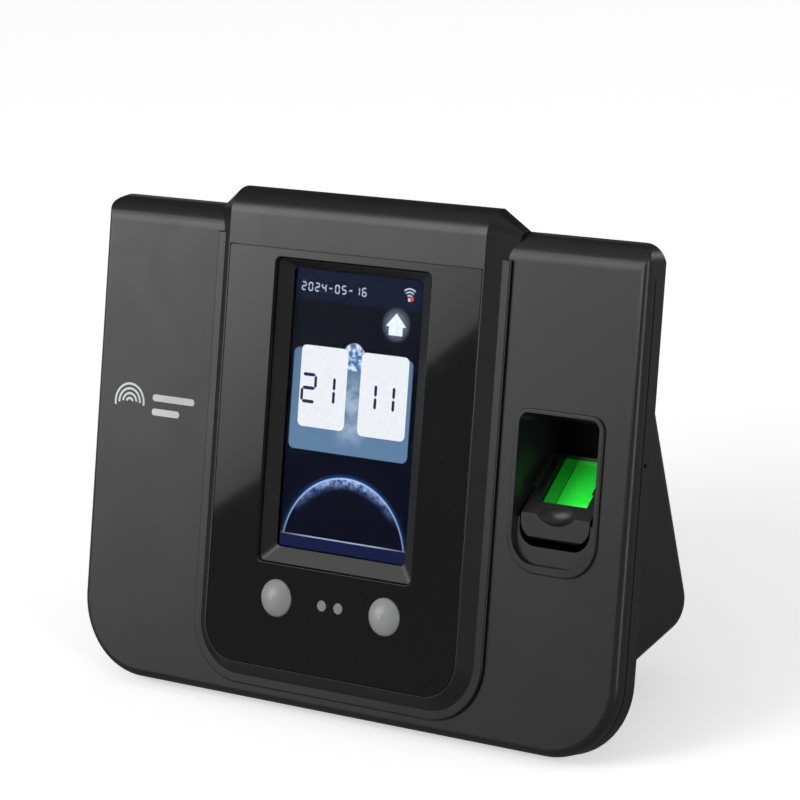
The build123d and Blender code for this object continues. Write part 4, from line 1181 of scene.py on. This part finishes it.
# %% USB strips and wire clamps
usb_low, usb_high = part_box("usb_port")
usb_middle = (usb_low + usb_high) / 2
usb_first = (usb_middle.x - 3.5 * MM, usb_middle.y - 0.15 * MM, usb_low.z + 5.5 * MM)
block_row("usb_contacts", "brass_post", 4, usb_first, (2.33, 0, 0), (1.1, 0.14, 7.5),
          finish="contact_gold")
WAYS = 8
WAY_PITCH = 3.5
ways_low, ways_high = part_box("terminal_block")
ways_middle = (ways_low + ways_high) / 2
ways_left = ways_middle.x - (WAYS - 1) / 2 * WAY_PITCH * MM
block_row("wire_clamps", "tin_plate", WAYS,
          (ways_left, ways_middle.y - 2.0 * MM, ways_low.z + 6.0 * MM),
          (WAY_PITCH, 0, 0), (2.0, 2.2, 0.8))

# %% [markdown]
# The finger guide has fine ribs along each side of its window, which keep a fingertip from
# sliding sideways. They lie on the guide's raised cheeks, so their line follows the window's own
# slope.

# %% Grip ribs
WINDOW_TILT = radians(40.3)
WELL_MIDDLE = 84.8
CHEEK_REACH = 11.0
CHEEK_V = 90.7
CHEEK_N = 11.3
RIB_RISE = 2.3
window_in = PANEL_IN * cos(WINDOW_TILT) - PANEL_UP * sin(WINDOW_TILT)
for side, word in ((-1, "left"), (1, "right")):
    place = on_panel(WELL_MIDDLE + side * CHEEK_REACH, CHEEK_V, CHEEK_N)
    place -= window_in * RIB_RISE * MM
    block_row("grip_ribs_" + word, "well_black", 3, place, (side * 0.9, 0, 0),
              (0.4, 0.5, 14.0), (-LEAN - WINDOW_TILT, 0, 0))

# %% [markdown]
# ## Terminal block's screws
# Each of the eight ways is closed by a small screw that sits down its own hole. The same screw
# tree serves, with a smaller head and a much narrower cross.

# %% Clamp screws
clamp_places = [
    (ways_left + way * WAY_PITCH * MM, ways_middle.y + 2.2 * MM, ways_low.z + 1.2 * MM)
    for way in range(WAYS)]
grow("clamp_screws", screw_tree, "screw_zinc", {
    "Head radius": 1.0 * MM, "Head height": 0.7 * MM, "Recess width": 0.28 * MM,
    "Shank radius": 0.6 * MM, "Shank length": 0.25 * MM, "Turn": Euler((pi, 0, 0))},
    clamp_places)

# %% [markdown]
# ## Soldered parts
# A board is mostly small parts: chips two millimetres long with tinned ends. They are scattered
# over the free areas of the main board, with at least 3.4 millimetres between their middles, each
# turned by a quarter turn or not. The same tree runs twice with one seed: once for the tinned
# ends, and once, shorter but a little wider and higher, for the bodies.

# %% Chip tree
chip_tree, taken, given = growing_tree("scattered_chips", [
    ("Spacing", "Float", 3.4 * MM), ("Density", "Float", 90000.0),
    ("Chip size", "Vector", None), ("Seed", "Int", 5),
])
sizes = taken.outputs
spots = node(chip_tree, "GeometryNodeDistributePointsOnFaces", {
    "Mesh": sizes["Geometry"], "Distance Min": sizes["Spacing"],
    "Density Max": sizes["Density"], "Seed": sizes["Seed"]}, distribute_method="POISSON")
chip = node(chip_tree, "GeometryNodeMeshCube", {"Size": sizes["Chip size"]})
quarter = node(chip_tree, "FunctionNodeRandomValue", {
    "Min": 0, "Max": 1, "Seed": sizes["Seed"]}, data_type="INT").outputs[2]
angle = node(chip_tree, "ShaderNodeCombineXYZ", {2: times(chip_tree, quarter, pi / 2)})
copies = node(chip_tree, "GeometryNodeInstanceOnPoints", {
    "Points": spots.outputs["Points"], "Instance": chip.outputs[0],
    "Rotation": spots.outputs["Rotation"]})
turned = node(chip_tree, "GeometryNodeRotateInstances", {
    "Instances": copies.outputs[0], "Rotation": angle.outputs[0]})
close_tree(chip_tree, turned.outputs[0], taken, given)
print("scattered_chips", len(chip_tree.nodes), "nodes")

# %% Soldered chips
CHIP_LEVEL = 11.28
free_areas = [(-34, 34, 109, 126), (-58, -28, 81, 92), (-24, 24, 54, 82)]
corners = [
    on_panel(u, v, CHIP_LEVEL) for u_low, u_high, v_low, v_high in free_areas
    for u, v in ((u_low, v_low), (u_low, v_high), (u_high, v_high), (u_high, v_low))]
quads = [tuple(range(4 * area, 4 * area + 4)) for area in range(len(free_areas))]
for name, slot, size in (
    ("chip_ends", "tin_plate", (2.0, 1.2, 0.55)), ("chip_bodies", "chip_black", (1.3, 1.28, 0.62)),
):
    grow(name, chip_tree, slot, {
        "Chip size": Vector(size) * MM, "Spacing": 3.4 * MM, "Density": 90000.0, "Seed": 5},
        corners, quads)

# %% [markdown]
# ## Cloth behind the speaker's holes
# Behind the round holes in the underside lies a dust cloth of fine crossed threads. A grid is cut
# to a disc, its edges become curves, and a thin thread is swept along each.

# %% Cloth tree
cloth_tree, taken, given = growing_tree("woven_disc", [
    ("Radius", "Float", 13.2 * MM), ("Thread radius", "Float", 0.13 * MM),
    ("Threads", "Int", 27), ("Middle", "Vector", None),
])
sizes = taken.outputs
across = times(cloth_tree, sizes["Radius"], 2.0)
sheet = node(cloth_tree, "GeometryNodeMeshGrid", {
    "Size X": across, "Size Y": across, "Vertices X": sizes["Threads"],
    "Vertices Y": sizes["Threads"]})
position = node(cloth_tree, "GeometryNodeInputPosition").outputs[0]
reach = vector(cloth_tree, "LENGTH", position, result="Value")
beyond = node(cloth_tree, "FunctionNodeCompare", {0: reach, 1: sizes["Radius"]},
              operation="GREATER_THAN").outputs[0]
cut = node(cloth_tree, "GeometryNodeDeleteGeometry", {
    "Geometry": sheet.outputs["Mesh"], "Selection": beyond})
threads = node(cloth_tree, "GeometryNodeMeshToCurve", {"Mesh": cut.outputs[0]})
thread = node(cloth_tree, "GeometryNodeCurvePrimitiveCircle", {
    "Resolution": 4, "Radius": sizes["Thread radius"]})
swept = node(cloth_tree, "GeometryNodeCurveToMesh", {
    "Curve": threads.outputs[0], "Profile Curve": thread.outputs["Curve"], "Fill Caps": True})
placed = node(cloth_tree, "GeometryNodeTransform", {
    "Geometry": swept.outputs[0], "Translation": sizes["Middle"]})
close_tree(cloth_tree, placed.outputs[0], taken, given)
print("woven_disc", len(cloth_tree.nodes), "nodes")

# %% Speaker cloth
gasket_low, gasket_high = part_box("speaker_gasket")
grow("speaker_cloth", cloth_tree, "tape", {
    "Radius": 13.2 * MM, "Thread radius": 0.13 * MM, "Threads": 27,
    "Middle": (gasket_low + gasket_high) / 2})

# %% [markdown]
# ## Floor and light
# The terminal stands before plain white. Product studios keep a black object black by lighting
# the sweep apart from the object: here the paper glows a little by itself for the camera, and is
# a middle grey for every other ray, so that it does not wash out the case. One large softbox
# hangs to the left, ahead of the panel, turned so that its lower edge falls across the lens plate
# as a slanted line. Its light fades towards that edge, as a real one's does.

# %% Floor
FLOOR_HALF = 6.0
FLOOR_DROP = 0.0003
PAPER_GLOW = 0.50


def floor_white():
    """Matt white sweep paper with a very faint fibre."""
    material, tree, principled = shader("floor_white", Roughness=0.9, Specular_IOR_Level=0.1,
                                        Emission_Color=(1, 1, 1, 1))
    fibre = noise(tree, own_place(tree), 60.0, detail=3.0)
    paper = mixed(tree, fibre, (0.90, 0.90, 0.90), (0.93, 0.93, 0.93))
    seen = node(tree, "ShaderNodeLightPath").outputs["Is Camera Ray"]
    feed(tree, principled,
         Base_Color=mixed(tree, seen, (0.40, 0.40, 0.40), paper),
         Emission_Strength=times(tree, seen, PAPER_GLOW))
    return material


edit = bmesh.new()
bmesh.ops.create_grid(edit, x_segments=1, y_segments=1, size=FLOOR_HALF)
bmesh.ops.translate(edit, verts=edit.verts, vec=(0, 0, cad_box[0][2] - FLOOR_DROP))
floor = piece_from("floor", edit, floor_white())
floor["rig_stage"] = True
print("floor at", round(cad_box[0][2] - FLOOR_DROP, 4))

# %% Softbox helper
def softbox(name, place, aim, width, height, radiance, turn=0.0, fade=None):
    """A rectangular light that faces a point, turned about its axis, faded from its lower edge."""
    light = bpy.data.lights.new(name, "AREA")
    light.shape = "RECTANGLE"
    light.size = width
    light.size_y = height
    light.energy = radiance * pi * width * height
    if fade:
        light.use_nodes = True
        tree = light.node_tree
        spot = node(tree, "ShaderNodeNewGeometry").outputs["Parametric"]
        part = node(tree, "ShaderNodeSeparateXYZ", {0: spot})
        feed(tree, tree.nodes["Emission"],
             Strength=ramp(tree, part.outputs["Y"], 0.0, fade[0], fade[1], 1.0))
    lamp = in_scene(name, light)
    lamp.location = place
    lamp.rotation_mode = "QUATERNION"
    facing = (Vector(aim) - Vector(place)).to_track_quat("-Z", "Y")
    lamp.rotation_quaternion = facing @ Quaternion((0, 0, 1), radians(turn))


print("softbox helper ready")

# %% Lights and room
softbox("left_softbox", (-1.39, -1.38, 1.14), (-0.40, 0.38, 0.26), 1.8, 1.2, 3.95,
        turn=50.1, fade=(0.20, 0.34))
softbox("overhead_box", (0.0, 0.25, 1.9), (0, 0.05, 0), 2.6, 2.2, 0.38)
softbox("right_strip", (1.42, -0.66, 0.40), (0.1, 0, 0.1), 0.12, 0.85, 15.0)
softbox("right_fill", (1.7, 0.5, 0.7), (0, 0, 0), 1.0, 1.2, 0.9)
softbox("rear_box", (1.5, 1.8, 0.35), (0, 0, 0), 1.6, 0.8, 3.4)
world = bpy.data.worlds.new("studio")
world.use_nodes = True
room = world.node_tree
towards_room = node(room, "ShaderNodeTexCoord").outputs["Generated"]
depth = node(room, "ShaderNodeSeparateXYZ", {0: towards_room}).outputs["Y"]
behind = ramp(room, depth, -0.7, 0.4)
feed(room, room.nodes["Background"],
     Color=mixed(room, behind, (0.29, 0.29, 0.29), (0.06, 0.06, 0.06)))
bpy.context.scene.world = world
bpy.context.scene.view_settings.view_transform = "Standard"
print("lights", [lamp.name for lamp in bpy.data.lights])

# %% Sizes, and the last line
visual_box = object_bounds()
sizes = {"cad": [list(corner) for corner in cad_box],
         "visual": [list(corner) for corner in visual_box]}
print("sizes", sizes)
